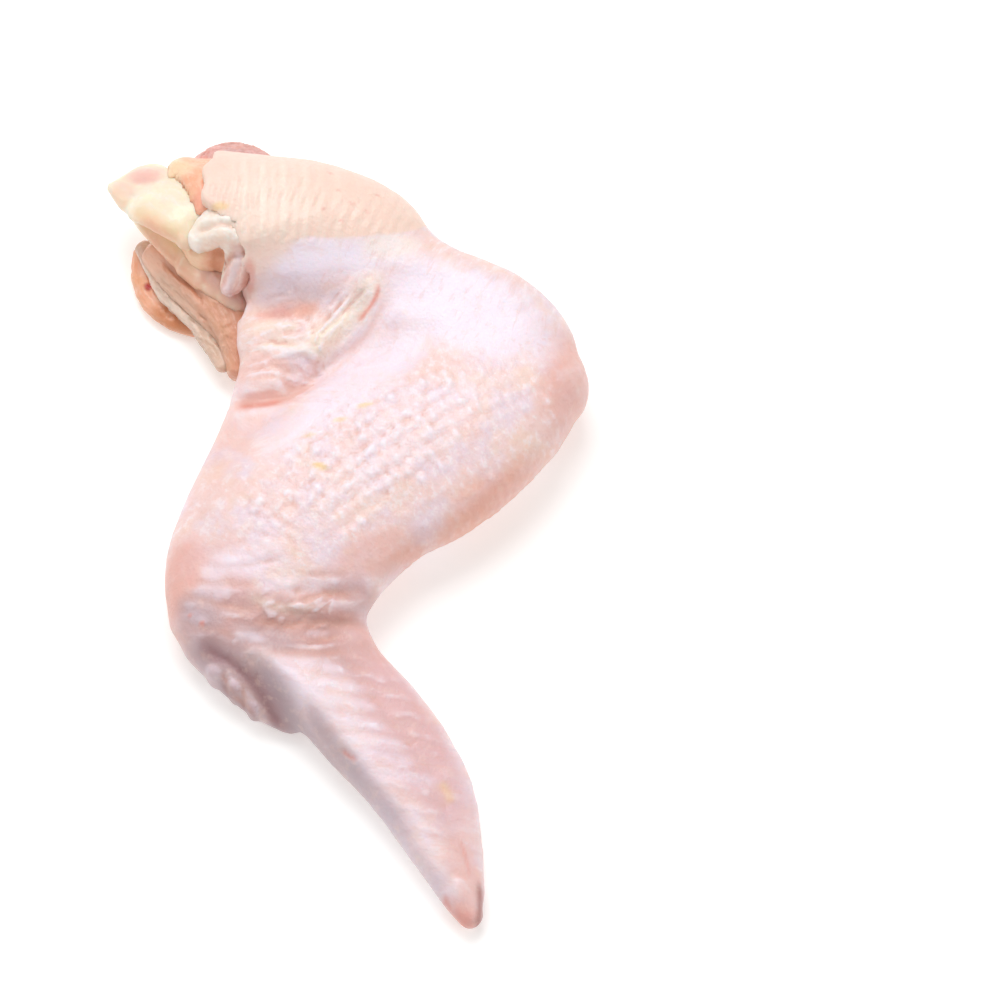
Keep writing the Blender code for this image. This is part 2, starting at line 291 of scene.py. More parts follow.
@dataclass(frozen=True)
class Patch:
    """A soft oval on a tissue.

    Attributes:
        x: Its middle.
        y: Its middle.
        along: Half its length.
        across: Half its width.
        turn: The angle of its length from +X, in degrees.
        strength: Its value in the middle.
        edge: How much of it is soft edge, from 0 to 1.
    """

    x: float
    y: float
    along: float
    across: float
    turn: float = 0.0
    strength: float = 1.0
    edge: float = 0.6

    def over(self, places: np.ndarray) -> np.ndarray:
        """Its value at each point.

        Args:
            places: The points.

        Returns:
            The strength in the middle, falling to 0 at its edge.
        """
        angle = math.radians(self.turn)
        dx, dy = places[:, 0] - self.x, places[:, 1] - self.y
        u = (dx * math.cos(angle) + dy * math.sin(angle)) / self.along
        v = (dy * math.cos(angle) - dx * math.sin(angle)) / self.across
        return self.strength * (1 - smooth_step(np.hypot(u, v), 1 - self.edge, 1))


Marks = tuple[Patch | Stroke, ...]
Layer = tuple[Tint, Marks]
Tone = tuple[Tint, Rgb]


def layer(tint: Tint, *marks: Patch | Stroke) -> Layer:
    """A tint with the patches and strokes that it is painted in."""
    return tint, marks


def painted(marks: Marks, places: np.ndarray) -> np.ndarray:
    """The strongest of several patches and strokes at each point.

    Args:
        marks: The patches and strokes.
        places: The points.

    Returns:
        A value at each point, 0 where none of them reaches.
    """
    values = np.zeros(len(places))
    for mark in marks:
        over = mark.over(places)
        values = np.where(np.abs(over) > np.abs(values), over, values)
    return values


# Meshes


@dataclass
class Surface:
    """A mesh whose points are shaped and marked as arrays, in millimetres.

    Attributes:
        mesh: The mesh.
        places: Its points.
        edges: The pairs of points that its edges join.
    """

    mesh: Mesh
    places: np.ndarray
    edges: np.ndarray

    @classmethod
    def of(cls, mesh: Mesh) -> "Surface":
        """Reads a mesh.

        Args:
            mesh: The mesh, in metres.

        Returns:
            Its surface, in millimetres.
        """
        places = np.empty(3 * len(mesh.vertices))
        mesh.vertices.foreach_get("co", places)
        edges = np.empty(2 * len(mesh.edges), int)
        mesh.edges.foreach_get("vertices", edges)
        return cls(mesh, places.reshape(-1, 3) / MM, edges.reshape(-1, 2))

    def write(self) -> None:
        """Puts the places back into the mesh."""
        self.mesh.vertices.foreach_set("co", (self.places * MM).ravel())
        self.mesh.update()

    def normals(self) -> np.ndarray:
        """The outward direction at each point."""
        self.write()
        normals = np.empty(3 * len(self.mesh.vertices))
        self.mesh.vertices.foreach_get("normal", normals)
        return normals.reshape(-1, 3)

    def averaged(self, values: np.ndarray) -> np.ndarray:
        """Each point's mean over the points that edges join it to.

        Args:
            values: One row of numbers for each point.

        Returns:
            The means, in the same rows.
        """
        first, second = self.edges.T
        count = len(values)
        joined = np.bincount(first, minlength=count) + np.bincount(second, minlength=count)
        sums = [
            np.bincount(first, column[second], count) + np.bincount(second, column[first], count)
            for column in values.T
        ]
        return np.stack(sums, axis=1) / np.maximum(joined, 1)[:, None]

    def relax(self, rounds: int, share: float = 0.55, swell: float = 0.57) -> None:
        """Evens out facets and keeps the volume.

        Args:
            rounds: How many times it is done.
            share: How far a point goes towards its neighbours.
            swell: How far it goes back.
        """
        for _ in range(rounds):
            for step in (share, -swell):
                self.places += step * (self.averaged(self.places) - self.places)

    def ease(self, share: np.ndarray, rounds: int, step: float = 0.6) -> None:
        """Smooths away hollows and ledges in places.

        Args:
            share: How much of it there is at each point, from 0 to 1.
            rounds: How many edges far it reaches.
            step: How far a point goes towards its neighbours in a round.
        """
        for _ in range(rounds):
            self.places += step * share[:, None] * (self.averaged(self.places) - self.places)

    def fill(self, share: np.ndarray, rounds: int, passes: int = 3) -> None:
        """Raises hollows in places and leaves what stands above them.

        Args:
            share: How much of it there is at each point, from 0 to 1.
            rounds: How wide the surface round a hollow is, in edges.
            passes: How many times it is done.
        """
        for _ in range(passes):
            lift = share * np.maximum(self.hollows(rounds), 0)
            self.places += self.normals() * lift[:, None]

    def blurred(self, values: np.ndarray, rounds: int) -> np.ndarray:
        """Spreads values over the surface.

        Args:
            values: One row of numbers for each point.
            rounds: How many edges far they spread.

        Returns:
            The blurred values, in the same rows.
        """
        for _ in range(rounds):
            values = 0.5 * (values + self.averaged(values))
        return values

    def hollows(self, rounds: int) -> np.ndarray:
        """How deep each point lies below the surface round it.

        Args:
            rounds: How wide the surface round it is, in edges.

        Returns:
            Millimetres, positive in a hollow and negative on a ridge.
        """
        return ((self.blurred(self.places, rounds) - self.places) * self.normals()).sum(axis=1)

    def mark(self, mark: Mark | Tint, values: np.ndarray) -> None:
        """Writes a mark or a tint into the mesh.

        Args:
            mark: Which one.
            values: Its value at each point, or three to a point.
        """
        kind, key = ("FLOAT", "value") if values.ndim == 1 else ("FLOAT_VECTOR", "vector")
        attribute = self.mesh.attributes.new(mark.value, kind, "POINT")
        attribute.data.foreach_set(key, values.astype(np.float32).ravel())


def new_object(name: str, data: Any) -> Object:
    """An object in the scene.

    Args:
        name: The object's name.
        data: Its mesh, light or camera.

    Returns:
        The object, at the origin.
    """
    made = bpy.data.objects.new(name, data)
    bpy.context.scene.collection.objects.link(made)
    return made


def baked(made: Object) -> Mesh:
    """The object's mesh as its modifiers make it; the object itself is removed.

    Args:
        made: The object.

    Returns:
        A plain mesh.
    """
    graph = bpy.context.evaluated_depsgraph_get()
    mesh = bpy.data.meshes.new_from_object(made.evaluated_get(graph))
    bpy.data.objects.remove(made)
    return mesh


def copy_of_node(node: str) -> Mesh:
    """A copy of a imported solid's mesh, with its loose triangles merged.

    Args:
        node: The solid's name.

    Returns:
        The copy.
    """
    work = bmesh.new()
    work.from_mesh(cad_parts[node].data)
    bmesh.ops.remove_doubles(work, verts=work.verts, dist=WELD * MM)
    mesh = bpy.data.meshes.new(node)
    work.to_mesh(mesh)
    work.free()
    return mesh


def remeshed(name: str, mesh: Mesh, voxel: float) -> Mesh:
    """A mesh with even, small faces.

    Args:
        name: The mesh's name.
        mesh: The closed mesh to go by.
        voxel: The faces' size.

    Returns:
        The new mesh.
    """
    made = new_object(name, mesh)
    remesh = made.modifiers.new("Even faces", "REMESH")
    remesh.mode = "VOXEL"
    remesh.voxel_size = voxel * MM
    return baked(made)


# Node trees


@dataclass
class Graph:
    """Adds the nodes of one tree and joins them.

    Attributes:
        tree: The tree.
    """

    tree: NodeTree

    def feed(self, node: Node, inputs: dict[Any, Any]) -> None:
        """Joins or sets a node's inputs.

        Args:
            node: The node.
            inputs: An output socket or a value for each, by its name or number.
        """
        for name, value in inputs.items():
            if isinstance(value, NodeSocket):
                self.tree.links.new(value, node.inputs[name])
            else:
                node.inputs[name].default_value = value

    def add(self, kind: str, inputs: dict[Any, Any] | None = None, **settings: Any) -> Node:
        """Adds a node.

        Args:
            kind: The node's type.
            inputs: What goes into its sockets, by their names or numbers.
            settings: Its properties.

        Returns:
            The node.
        """
        node = self.tree.nodes.new(kind)
        for name, value in settings.items():
            setattr(node, name, value)
        self.feed(node, inputs or {})
        return node

    def math(self, operation: str, *values: Any) -> NodeSocket:
        """A sum on numbers.

        Args:
            operation: Blender's name for it.
            values: The numbers or outputs that it works on.

        Returns:
            Its result.
        """
        return self.add("ShaderNodeMath", dict(enumerate(values)), operation=operation).outputs[0]

    def vector(self, operation: str, *values: Any) -> NodeSocket:
        """A sum on vectors.

        Args:
            operation: Blender's name for it.
            values: The vectors or outputs that it works on; for SCALE, a vector and a number.

        Returns:
            Its result.
        """
        keys = (0, "Scale") if operation == "SCALE" else range(len(values))
        return self.add("ShaderNodeVectorMath", dict(zip(keys, values)), operation=operation).outputs[0]

    def ramp(self, value: Any, low: float, high: float, first: float = 0.0, last: float = 1.0) -> NodeSocket:
        """A smooth ramp.

        Args:
            value: What it reads.
            low: Where it starts.
            high: Where it ends.
            first: Its value at the start.
            last: Its value at the end.

        Returns:
            Its result.
        """
        inputs = {"Value": value, "From Min": low, "From Max": high, "To Min": first, "To Max": last}
        return self.add("ShaderNodeMapRange", inputs, interpolation_type="SMOOTHSTEP").outputs[0]

    def mix(self, share: Any, first: Any, second: Any) -> NodeSocket:
        """Mixes two colours.

        Args:
            share: How much of the second.
            first: The first colour.
            second: The second colour.

        Returns:
            The mixed colour.
        """
        return self.add("ShaderNodeMix", {0: share, 6: first, 7: second}, data_type="RGBA").outputs[2]


def screen(colour: Rgb) -> tuple[float, float, float, float]:
    """A colour as the shader wants it.

    Args:
        colour: Its screen values, from 0 to 255.

    Returns:
        Its light values, with a full alpha.
    """
    shares = [value / 255 for value in colour]
    light = [s / 12.92 if s <= 0.04045 else ((s + 0.055) / 1.055) ** 2.4 for s in shares]
    return (light[0], light[1], light[2], 1.0)


def new_group(
    name: str, inputs: dict[str, float], outputs: tuple[str, ...]
) -> tuple[Graph, Node, Node, NodeSocket]:
    """An empty shader group.

    Args:
        name: Its name.
        inputs: Its inputs, all numbers, with their usual values.
        outputs: Its outputs, all numbers.

    Returns:
        A graph to fill it with, its input node, its output node, and the spot on the object.
    """
    tree = bpy.data.node_groups.new(name, "ShaderNodeTree")
    for title, value in inputs.items():
        socket = tree.interface.new_socket(title, in_out="INPUT", socket_type="NodeSocketFloat")
        socket.default_value = value
    for title in outputs:
        tree.interface.new_socket(title, in_out="OUTPUT", socket_type="NodeSocketFloat")
    graph = Graph(tree)
    spot = graph.add("ShaderNodeTexCoord").outputs["Object"]
    return graph, graph.add("NodeGroupInput"), graph.add("NodeGroupOutput"), spot


def mottle_group() -> NodeTree:
    """Cloudy colour: broad blotches, broad warm places and small flecks, as masks from 0 to 1."""
    sizes = {"Blotch size": 9.0, "Fleck size": 2.0}
    graph, given, out, spot = new_group("Mottle", sizes, ("Blotch", "Warmth", "Fleck"))
    elsewhere = graph.vector("ADD", spot, (0.31, 0.17, 0.23))
    for title, place, size, low, high in (
        ("Blotch", spot, "Blotch size", 0.4, 0.62),
        ("Warmth", elsewhere, "Blotch size", 0.48, 0.68),
        ("Fleck", elsewhere, "Fleck size", 0.52, 0.7),
    ):
        scale = graph.math("DIVIDE", 1 / MM, given.outputs[size])
        inputs = {"Vector": place, "Scale": scale, "Detail": 3.0, "Roughness": 0.55}
        cloud = graph.add("ShaderNodeTexNoise", inputs).outputs["Fac"]
        graph.feed(out, {title: graph.ramp(cloud, low, high)})
    return graph.tree


def grain_group() -> NodeTree:
    """The finest relief of wet skin or flesh, as a height: soft wrinkles and small cells."""
    graph, given, out, spot = new_group("Grain", {"Size": 1.0, "Cells": 0.5}, ("Height",))
    scale = graph.math("DIVIDE", 1 / MM, given.outputs["Size"])
    soft = graph.add("ShaderNodeTexNoise", {"Vector": spot, "Scale": scale, "Detail": 4.0, "Roughness": 0.6})
    finer = graph.math("MULTIPLY", scale, 1.7)
    cells = graph.add("ShaderNodeTexVoronoi", {"Vector": spot, "Scale": finer}, feature="SMOOTH_F1")
    part = graph.math("MULTIPLY", cells.outputs["Distance"], given.outputs["Cells"])
    graph.feed(out, {"Height": graph.math("ADD", soft.outputs["Fac"], part)})
    return graph.tree


def film_group() -> NodeTree:
    """How wet a surface is: its roughness, with drier and wetter places."""
    sizes = {"Roughness": 0.3, "Spread": 0.15, "Size": 5.0}
    graph, given, out, spot = new_group("Wet film", sizes, ("Roughness",))
    scale = graph.math("DIVIDE", 1 / MM, given.outputs["Size"])
    cloud = graph.add("ShaderNodeTexNoise", {"Vector": spot, "Scale": scale, "Detail": 2.0})
    swing = graph.math("MULTIPLY", graph.math("SUBTRACT", cloud.outputs["Fac"], 0.5), given.outputs["Spread"])
    graph.feed(out, {"Roughness": graph.math("ADD", given.outputs["Roughness"], swing)})
    return graph.tree


@dataclass
class Groups:
    """The shader groups that every finish shares.

    Attributes:
        mottle: Cloudy colour.
        grain: Finest relief.
        film: Wetness.
    """

    mottle: NodeTree
    grain: NodeTree
    film: NodeTree

    @classmethod
    def made(cls) -> "Groups":
        """Builds the groups."""
        return cls(mottle_group(), grain_group(), film_group())


def new_material(name: str) -> tuple[Material, Graph, Node]:
    """A material with its shader.

    Args:
        name: Its name.

    Returns:
        The material, a graph to fill it with, and its Principled shader.
    """
    material = bpy.data.materials.new(name)
    material.use_nodes = True
    return material, Graph(material.node_tree), material.node_tree.nodes["Principled BSDF"]


@dataclass(frozen=True)
class WetFinish:
    """Moist raw skin, fat, meat, gristle or membrane.

    Attributes:
        name: The material's name.
        base: Its colour where nothing marks it.
        cloud: The colour of its broad clouds.
        warm: The colour of its broad warm clouds and its flecks.
        streak: The colour of the pale streaks that follow the tissue's rows.
        tip: The painted highlight on raised places.
        dark_streak_and_shade: The painted shade in the hollows between them, and the colour of the dark
            streaks.
        tints: The colours of its painted tints, tones of the tissue as well as painted shade and highlights,
            laid over it in that order.
        stains_shade_and_highlights: The colours of the tints that cover raised places too, tones as well as
            painted shade and highlights.
        clouds: How far it is from one cloud to the next.
        fleck: How far it is from one fleck to the next, as a share of that.
        warmth: How strongly its warm clouds show.
        pale: How strongly its pale streaks show.
        dark: How strongly its dark streaks show.
        flecks: How strongly its flecks show.
        relief_shading: How strongly raised places take their painted highlight and hollows their painted shade.
        roughness: How dry it looks.
        glow: How much light goes in.
        coat: How wet its film is.
        grain: How high its finest relief is.
    """

    name: str
    base: Rgb
    cloud: Rgb
    warm: Rgb
    streak: Rgb
    tip: Rgb
    dark_streak_and_shade: Rgb
    tints: tuple[Tone, ...] = ()
    stains_shade_and_highlights: tuple[Tone, ...] = ()
    clouds: float = 4.0
    fleck: float = 0.27
    warmth: float = 0.7
    pale: float = 0.6
    dark: float = 0.22
    flecks: float = 0.2
    relief_shading: float = 0.6
    roughness: float = 0.38
    glow: float = 0.25
    coat: float = 0.15
    grain: float = 0.12

    @staticmethod
    def laid(graph: Graph, colour: Any, tones: tuple[Tone, ...]) -> Any:
        """Lays painted tints over a colour.

        Args:
            graph: The material's nodes.
            colour: The colour below.
            tones: The tints and their colours.

        Returns:
            The colour with the tints.
        """
        for tint, tone in tones:
            share = graph.add("ShaderNodeAttribute", attribute_name=tint.value).outputs["Fac"]
            colour = graph.mix(share, colour, screen(tone))
        return colour

    def coloured(self, graph: Graph, mottle: Node) -> NodeSocket:
        """Mixes the finish's colours, with a painted highlight on raised places and painted shade in hollows.

        Args:
            graph: The material's nodes.
            mottle: The node of the cloudy colour.

        Returns:
            The colour.
        """

        def over(below: Any, tone: Rgb, mask: NodeSocket, strength: float = 1.0) -> NodeSocket:
            """Lays a colour over another one by a mask."""
            share = mask if strength == 1.0 else graph.math("MULTIPLY", mask, strength)
            return graph.mix(share, below, screen(tone))

        lane = graph.add("ShaderNodeAttribute", attribute_name=Mark.FLOW.value).outputs["Vector"]
        inputs = {"Vector": lane, "Scale": 1.7, "Detail": 4.0, "Roughness": 0.65}
        streaks = graph.add("ShaderNodeTexNoise", inputs).outputs["Fac"]
        relief = graph.add("ShaderNodeAttribute", attribute_name=Mark.RELIEF.value).outputs["Fac"]
        # Painted highlight on raised places, fading on the highest
        lower = graph.ramp(relief, *TOO_HIGH, first=self.relief_shading, last=0.0)
        raised = graph.math("MULTIPLY", graph.ramp(relief, *RAISED), lower)
        colour = over(screen(self.base), self.cloud, mottle.outputs["Blotch"])
        colour = over(colour, self.warm, mottle.outputs["Warmth"], self.warmth)
        colour = over(colour, self.streak, graph.ramp(streaks, *PALE_STREAK), self.pale)
        # Tones, painted shade and painted highlights, below the relief's colours
        colour = self.laid(graph, colour, self.tints)
        colour = over(colour, self.dark_streak_and_shade, graph.ramp(streaks, *DARK_STREAK, first=1.0, last=0.0), self.dark)
        colour = over(colour, self.tip, raised)
        # Painted shade in sunken places
        colour = over(colour, self.dark_streak_and_shade, graph.ramp(relief, *SUNKEN, first=self.relief_shading, last=0.0))
        # Tones, painted shade and painted highlights that cover the relief's colours too
        colour = self.laid(graph, colour, self.stains_shade_and_highlights)
        return over(colour, self.warm, mottle.outputs["Fleck"], self.flecks)

    def material(self, groups: Groups) -> Material:
        """Builds the material.

        Args:
            groups: The shared shader groups.

        Returns:
            The material.
        """
        material, graph, shader = new_material(self.name)
        sizes = {"Blotch size": self.clouds, "Fleck size": self.fleck * self.clouds}
        mottle = graph.add("ShaderNodeGroup", sizes, node_tree=groups.mottle)
        wetness = {"Roughness": self.roughness, "Spread": 0.25, "Size": 3.0}
        film = graph.add("ShaderNodeGroup", wetness, node_tree=groups.film)
        grain = graph.add("ShaderNodeGroup", {"Size": 1.0, "Cells": 0.4}, node_tree=groups.grain)
        fine = graph.add("ShaderNodeBump", {"Height": grain.outputs["Height"], "Distance": self.grain * MM})
        inputs = {
            "Base Color": self.coloured(graph, mottle),
            "Roughness": film.outputs["Roughness"],
            "Normal": fine.outputs["Normal"],
            "Subsurface Weight": self.glow,
            "Subsurface Radius": (1.0, 0.45, 0.35),
            "Subsurface Scale": 1.2 * MM,
            "Specular IOR Level": 0.45,
            "Coat Weight": self.coat,
            "Coat Roughness": 0.2,
        }
        graph.feed(shader, inputs)
        return material


# Relief


def relief_tree() -> NodeTree:
    """The tree that raises follicles, ribs, wrinkles and swells on a tissue, where its marks say."""
    tree = bpy.data.node_groups.new("Tissue relief", "GeometryNodeTree")
    tree.interface.new_socket("Geometry", in_out="INPUT", socket_type="NodeSocketGeometry")
    for name in Relief.INPUTS.values():
        tree.interface.new_socket(name, in_out="INPUT", socket_type="NodeSocketFloat")
    tree.interface.new_socket("Material", in_out="INPUT", socket_type="NodeSocketMaterial")
    tree.interface.new_socket("Geometry", in_out="OUTPUT", socket_type="NodeSocketGeometry")
    graph = Graph(tree)
    given = graph.add("NodeGroupInput").outputs

    def read(mark: Mark, kind: str = "FLOAT") -> NodeSocket:
        """Reads one of the tissue's marks."""
        inputs = {"Name": mark.value}
        return graph.add("GeometryNodeInputNamedAttribute", inputs, data_type=kind).outputs["Attribute"]

    def noise(vector: Any, scale: Any, detail: float = 2.0) -> Node:
        """A cloud of soft noise."""
        return graph.add("ShaderNodeTexNoise", {"Vector": vector, "Scale": scale, "Detail": detail})

    # The rows, which stray a little: x counts them along the region's line, and y is the way off it
    spot = graph.vector("SCALE", graph.add("GeometryNodeInputPosition").outputs[0], 1 / MM)
    seed = graph.add("ShaderNodeCombineXYZ", dict.fromkeys("XYZ", given["Seed"])).outputs[0]
    shifted = graph.vector("ADD", spot, seed)
    drift = graph.vector("SUBTRACT", noise(shifted, scale=0.16).outputs["Color"], (0.5, 0.5, 0.5))
    rows = graph.vector("ADD", read(Mark.FLOW, "FLOAT_VECTOR"), graph.vector("SCALE", drift, given["Wander"]))
    lanes = graph.add("ShaderNodeSeparateXYZ", {"Vector": rows}).outputs
    uneven = graph.ramp(noise(shifted, scale=0.3).outputs["Fac"], low=0.35, high=0.65, first=0.15, last=1.3)

    # Follicles: domes of uneven height, finer and lower ones between them, and a ripple from row to row
    domes = []
    for height, fineness in ((1.0, 1.0), (0.3, 2.1)):
        lane = graph.vector("SCALE", graph.vector("ADD", rows, (3.7 * fineness, 1.3, 0.0)), fineness)
        cells = graph.add("ShaderNodeTexVoronoi", {"Vector": lane, "Scale": 1.0, "Randomness": 0.6})
        dome = graph.ramp(cells.outputs["Distance"], low=0.05, high=0.65, first=1.0, last=-0.3)
        own = graph.add("FunctionNodeSeparateColor", {"Color": cells.outputs["Color"]}).outputs[0]
        tall = graph.math("MULTIPLY_ADD", own, 0.9 * height, 0.4 * height)
        domes.append(graph.math("MULTIPLY", dome, tall))
    swing = graph.math("COSINE", graph.math("MULTIPLY_ADD", lanes["Y"], math.tau, 0.8 * math.tau))
    ripple = graph.math("MULTIPLY", graph.ramp(swing, low=-0.8, high=1.0, first=-0.16, last=0.32), uneven)
    plucked = graph.math("ADD", graph.math("ADD", *domes), ripple)
    follicle = graph.math("MULTIPLY", plucked, read(Mark.PLUCKED))

    # Ribs: one along each row, with a soft crest and a narrow valley
    crest = graph.math("COSINE", graph.math("MULTIPLY", lanes["X"], math.tau))
    ridge = graph.math("MULTIPLY", graph.ramp(crest, low=-0.7, high=0.9, first=-0.5), uneven)
    rib = graph.math("MULTIPLY", ridge, read(Mark.RIBBED))

    # Wrinkles: thin crests where a noise that follows the rows passes its middle
    waves = graph.add("ShaderNodeTexNoise", {"Vector": rows, "Scale": 0.8, "Detail": 3.0, "Distortion": 0.4})
    folded = graph.math("ABSOLUTE", graph.math("MULTIPLY_ADD", waves.outputs["Fac"], 2.0, -1.0))
    thin = graph.ramp(folded, low=0.0, high=0.3, first=1.0, last=-0.3)
    wrinkle = graph.math("MULTIPLY", thin, read(Mark.WRINKLED))

    # All of it on soft swells, and none of it where the wing rests on the table
    cloud = noise(shifted, graph.math("DIVIDE", 1.0, given["Swell size"]), detail=3.0).outputs["Fac"]
    lift = graph.math("MULTIPLY", graph.math("SUBTRACT", cloud, 0.5), given["Swell height"])
    for height, part in (("Follicle height", follicle), ("Rib height", rib), ("Wrinkle height", wrinkle)):
        lift = graph.math("ADD", lift, graph.math("MULTIPLY", part, given[height]))
    above = graph.add("ShaderNodeSeparateXYZ", {"Vector": spot}).outputs["Z"]
    lift = graph.math("MULTIPLY", lift, graph.ramp(above, low=0.4, high=2.5))

    outward = graph.add("GeometryNodeInputNormal").outputs[0]
    push = graph.vector("SCALE", outward, graph.math("MULTIPLY", lift, MM))
    moved = graph.add("GeometryNodeSetPosition", {"Geometry": given["Geometry"], "Offset": push})
    real = graph.add("GeometryNodeRealizeInstances", {"Geometry": moved.outputs[0]})
    inputs = {"Geometry": real.outputs[0], "Material": given["Material"]}
    dressed = graph.add("GeometryNodeSetMaterial", inputs)
    graph.add("NodeGroupOutput", {0: dressed.outputs[0]})
    return tree


@dataclass(frozen=True)
class Relief:
    """How high a tissue's relief stands, in millimetres.

    Attributes:
        INPUTS: What the relief's node tree calls each of them.
        follicle: The height of a follicle.
        rib: The height of a rib.
        wrinkle: The height of a wrinkle.
        swell: The height of its soft swells.
        swell_size: The room from one swell to the next.
        wander: How far its rows stray, in rows.
        seed: Where its random relief starts.
    """

    INPUTS: ClassVar[dict[str, str]] = {
        "follicle": "Follicle height",
        "rib": "Rib height",
        "wrinkle": "Wrinkle height",
        "swell": "Swell height",
        "swell_size": "Swell size",
        "wander": "Wander",
        "seed": "Seed",
    }
    follicle: float = 0.0
    rib: float = 0.0
    wrinkle: float = 0.0
    swell: float = 0.0
    swell_size: float = 4.0
    wander: float = 0.8
    seed: float = 1.0

    def raise_on(self, made: Object, tree: NodeTree, material: Material) -> Mesh:
        """Raises the relief on a piece and bakes it; the piece's own object is removed.

        Args:
            made: The piece.
            tree: The relief's node tree.
            material: The piece's material.

        Returns:
            The mesh with its relief.
        """
        modifier = made.modifiers.new("Relief", "NODES")
        modifier.node_group = tree
        values = {title: getattr(self, name) for name, title in self.INPUTS.items()}
        values["Material"] = material
        for item in tree.interface.items_tree:
            if item.in_out == "INPUT" and item.name in values:
                modifier[item.identifier] = values[item.name]
        return baked(made)


@dataclass(frozen=True)
class Region:
    """A stretch of tissue whose relief runs in rows across a line.

    Attributes:
        axis: The line in plan.
        rows: The room from one row to the next.
        stretch: How much longer than wide a follicle or wrinkle is; under 1, it runs along the line.
        plucked: Where follicles stand, and how high.
        ribbed: Where ribs run, and how high.
    """

    axis: Line
    rows: float
    stretch: float
    plucked: Marks = ()
    ribbed: Marks = ()


# Tissues


@dataclass
class Tissue:
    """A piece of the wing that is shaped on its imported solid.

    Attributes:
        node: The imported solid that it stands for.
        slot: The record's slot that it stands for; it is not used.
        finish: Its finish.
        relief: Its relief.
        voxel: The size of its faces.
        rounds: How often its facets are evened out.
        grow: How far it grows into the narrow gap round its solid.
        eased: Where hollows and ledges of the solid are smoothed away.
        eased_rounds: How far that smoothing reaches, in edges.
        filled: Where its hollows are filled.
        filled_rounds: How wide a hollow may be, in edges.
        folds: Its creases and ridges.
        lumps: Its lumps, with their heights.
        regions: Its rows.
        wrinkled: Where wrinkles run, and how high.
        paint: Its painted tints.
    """

    node: str
    slot: Slot
    finish: WetFinish
    relief: Relief
    voxel: float = 0.3
    rounds: int = 12
    grow: float = 0.25
    eased: Marks = ()
    eased_rounds: int = 60
    filled: Marks = ()
    filled_rounds: int = 120
    folds: tuple[Fold, ...] = ()
    lumps: Marks = ()
    regions: tuple[Region, ...] = ()
    wrinkled: Marks = ()
    paint: tuple[Layer, ...] = ()

    def build(self) -> Object:
        """Makes the tissue's mesh, with its folds, lumps and marks.

        Returns:
            The tissue, before its relief and finish.
        """
        surface = Surface.of(remeshed(self.node, copy_of_node(self.node), self.voxel))
        surface.relax(self.rounds)
        surface.ease(painted(self.eased, surface.places), self.eased_rounds)
        if self.filled:
            surface.fill(painted(self.filled, surface.places), self.filled_rounds)
        surface.places += surface.normals() * (self.grow + painted(self.lumps, surface.places))[:, None]
        self.press_folds(surface)
        surface.places[:, 2] = np.maximum(surface.places[:, 2], TABLE_GAP)
        self.lay_rows(surface)
        surface.mark(Mark.WRINKLED, painted(self.wrinkled, surface.places))
        for tint, marks in self.paint:
            surface.mark(tint, painted(marks, surface.places))
        self.mark_more(surface)
        surface.write()
        return new_object(f"{self.node}_shaped", surface.mesh)

    def press_folds(self, surface: Surface) -> None:
        """Presses the folds into the upper side, and marks painted shade in them and in deep hollows.

        Args:
            surface: The tissue.
        """
        upward = smooth_step(surface.normals()[:, 2], 0.0, UPRIGHT)
        # Painted shade in deep hollows
        deep = HOLLOW_SHADE * smooth_step(surface.hollows(HOLLOW_EDGES), *HOLLOW_DEPTH)
        sink = np.zeros(len(surface.places))
        stain = np.zeros(len(surface.places))
        for fold in self.folds:
            core = soft_line(surface.places, fold.points, fold.width)
            sink += fold.depth * core
            stain = np.maximum(stain, fold.stain * core)
            if fold.lip:
                sink -= fold.lip * soft_line(surface.places, fold.points, fold.width, LIP_ROOM * fold.width)
        surface.places[:, 2] -= sink * upward
        # The crease tint is painted shade in the folds and hollows
        surface.mark(Tint.CREASE, np.clip(stain * upward + deep, 0, 1))

    def lay_rows(self, surface: Surface) -> None:
        """Marks how the rows run, and where follicles and ribs stand.

        Args:
            surface: The tissue.
        """
        places = surface.places
        nearest = np.full(len(places), np.inf)
        flow = np.zeros_like(places)
        marks = {Mark.PLUCKED: np.zeros(len(places)), Mark.RIBBED: np.zeros(len(places))}
        for region in self.regions:
            beside = track(places, smooth_line(region.axis))
            closer = beside.distance < nearest
            nearest[closer] = beside.distance[closer]
            across = beside.distance * beside.side / region.stretch
            lane = np.stack([beside.along, across, places[:, 2] / region.stretch], axis=1) / region.rows
            flow[closer] = lane[closer]
            for mark, patches in ((Mark.PLUCKED, region.plucked), (Mark.RIBBED, region.ribbed)):
                marks[mark][closer] = painted(patches, places)[closer]
        surface.mark(Mark.FLOW, flow)
        for mark, values in marks.items():
            surface.mark(mark, surface.blurred(values[:, None], BLUR_EDGES)[:, 0])

    def mark_more(self, surface: Surface) -> None:
        """Marks what only this kind of tissue has."""

    def dress(self, made: Object, relief: NodeTree, groups: Groups) -> Object:
        """Raises the relief, gives the tissue its finish and hands it to the frame.

        Args:
            made: The tissue.
            relief: The relief's node tree.
            groups: The shared shader groups.

        Returns:
            The finished piece.
        """
        mesh = self.relief.raise_on(made, relief, self.finish.material(groups))
        surface = Surface.of(mesh)
        # How far each point stands above the surface round it, for the painted highlight on raised places and
        # painted shade in hollows; rims take none
        rim = smooth_step(-surface.hollows(RIM_EDGES), *RIM_HEIGHT)
        surface.mark(Mark.RELIEF, -surface.hollows(RELIEF_EDGES) * (1 - rim))
        mesh.shade_smooth()
        finished = new_object(f"{self.node}_dressed", mesh)
        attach(finished, BODY)
        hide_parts(self.node)
        return finished


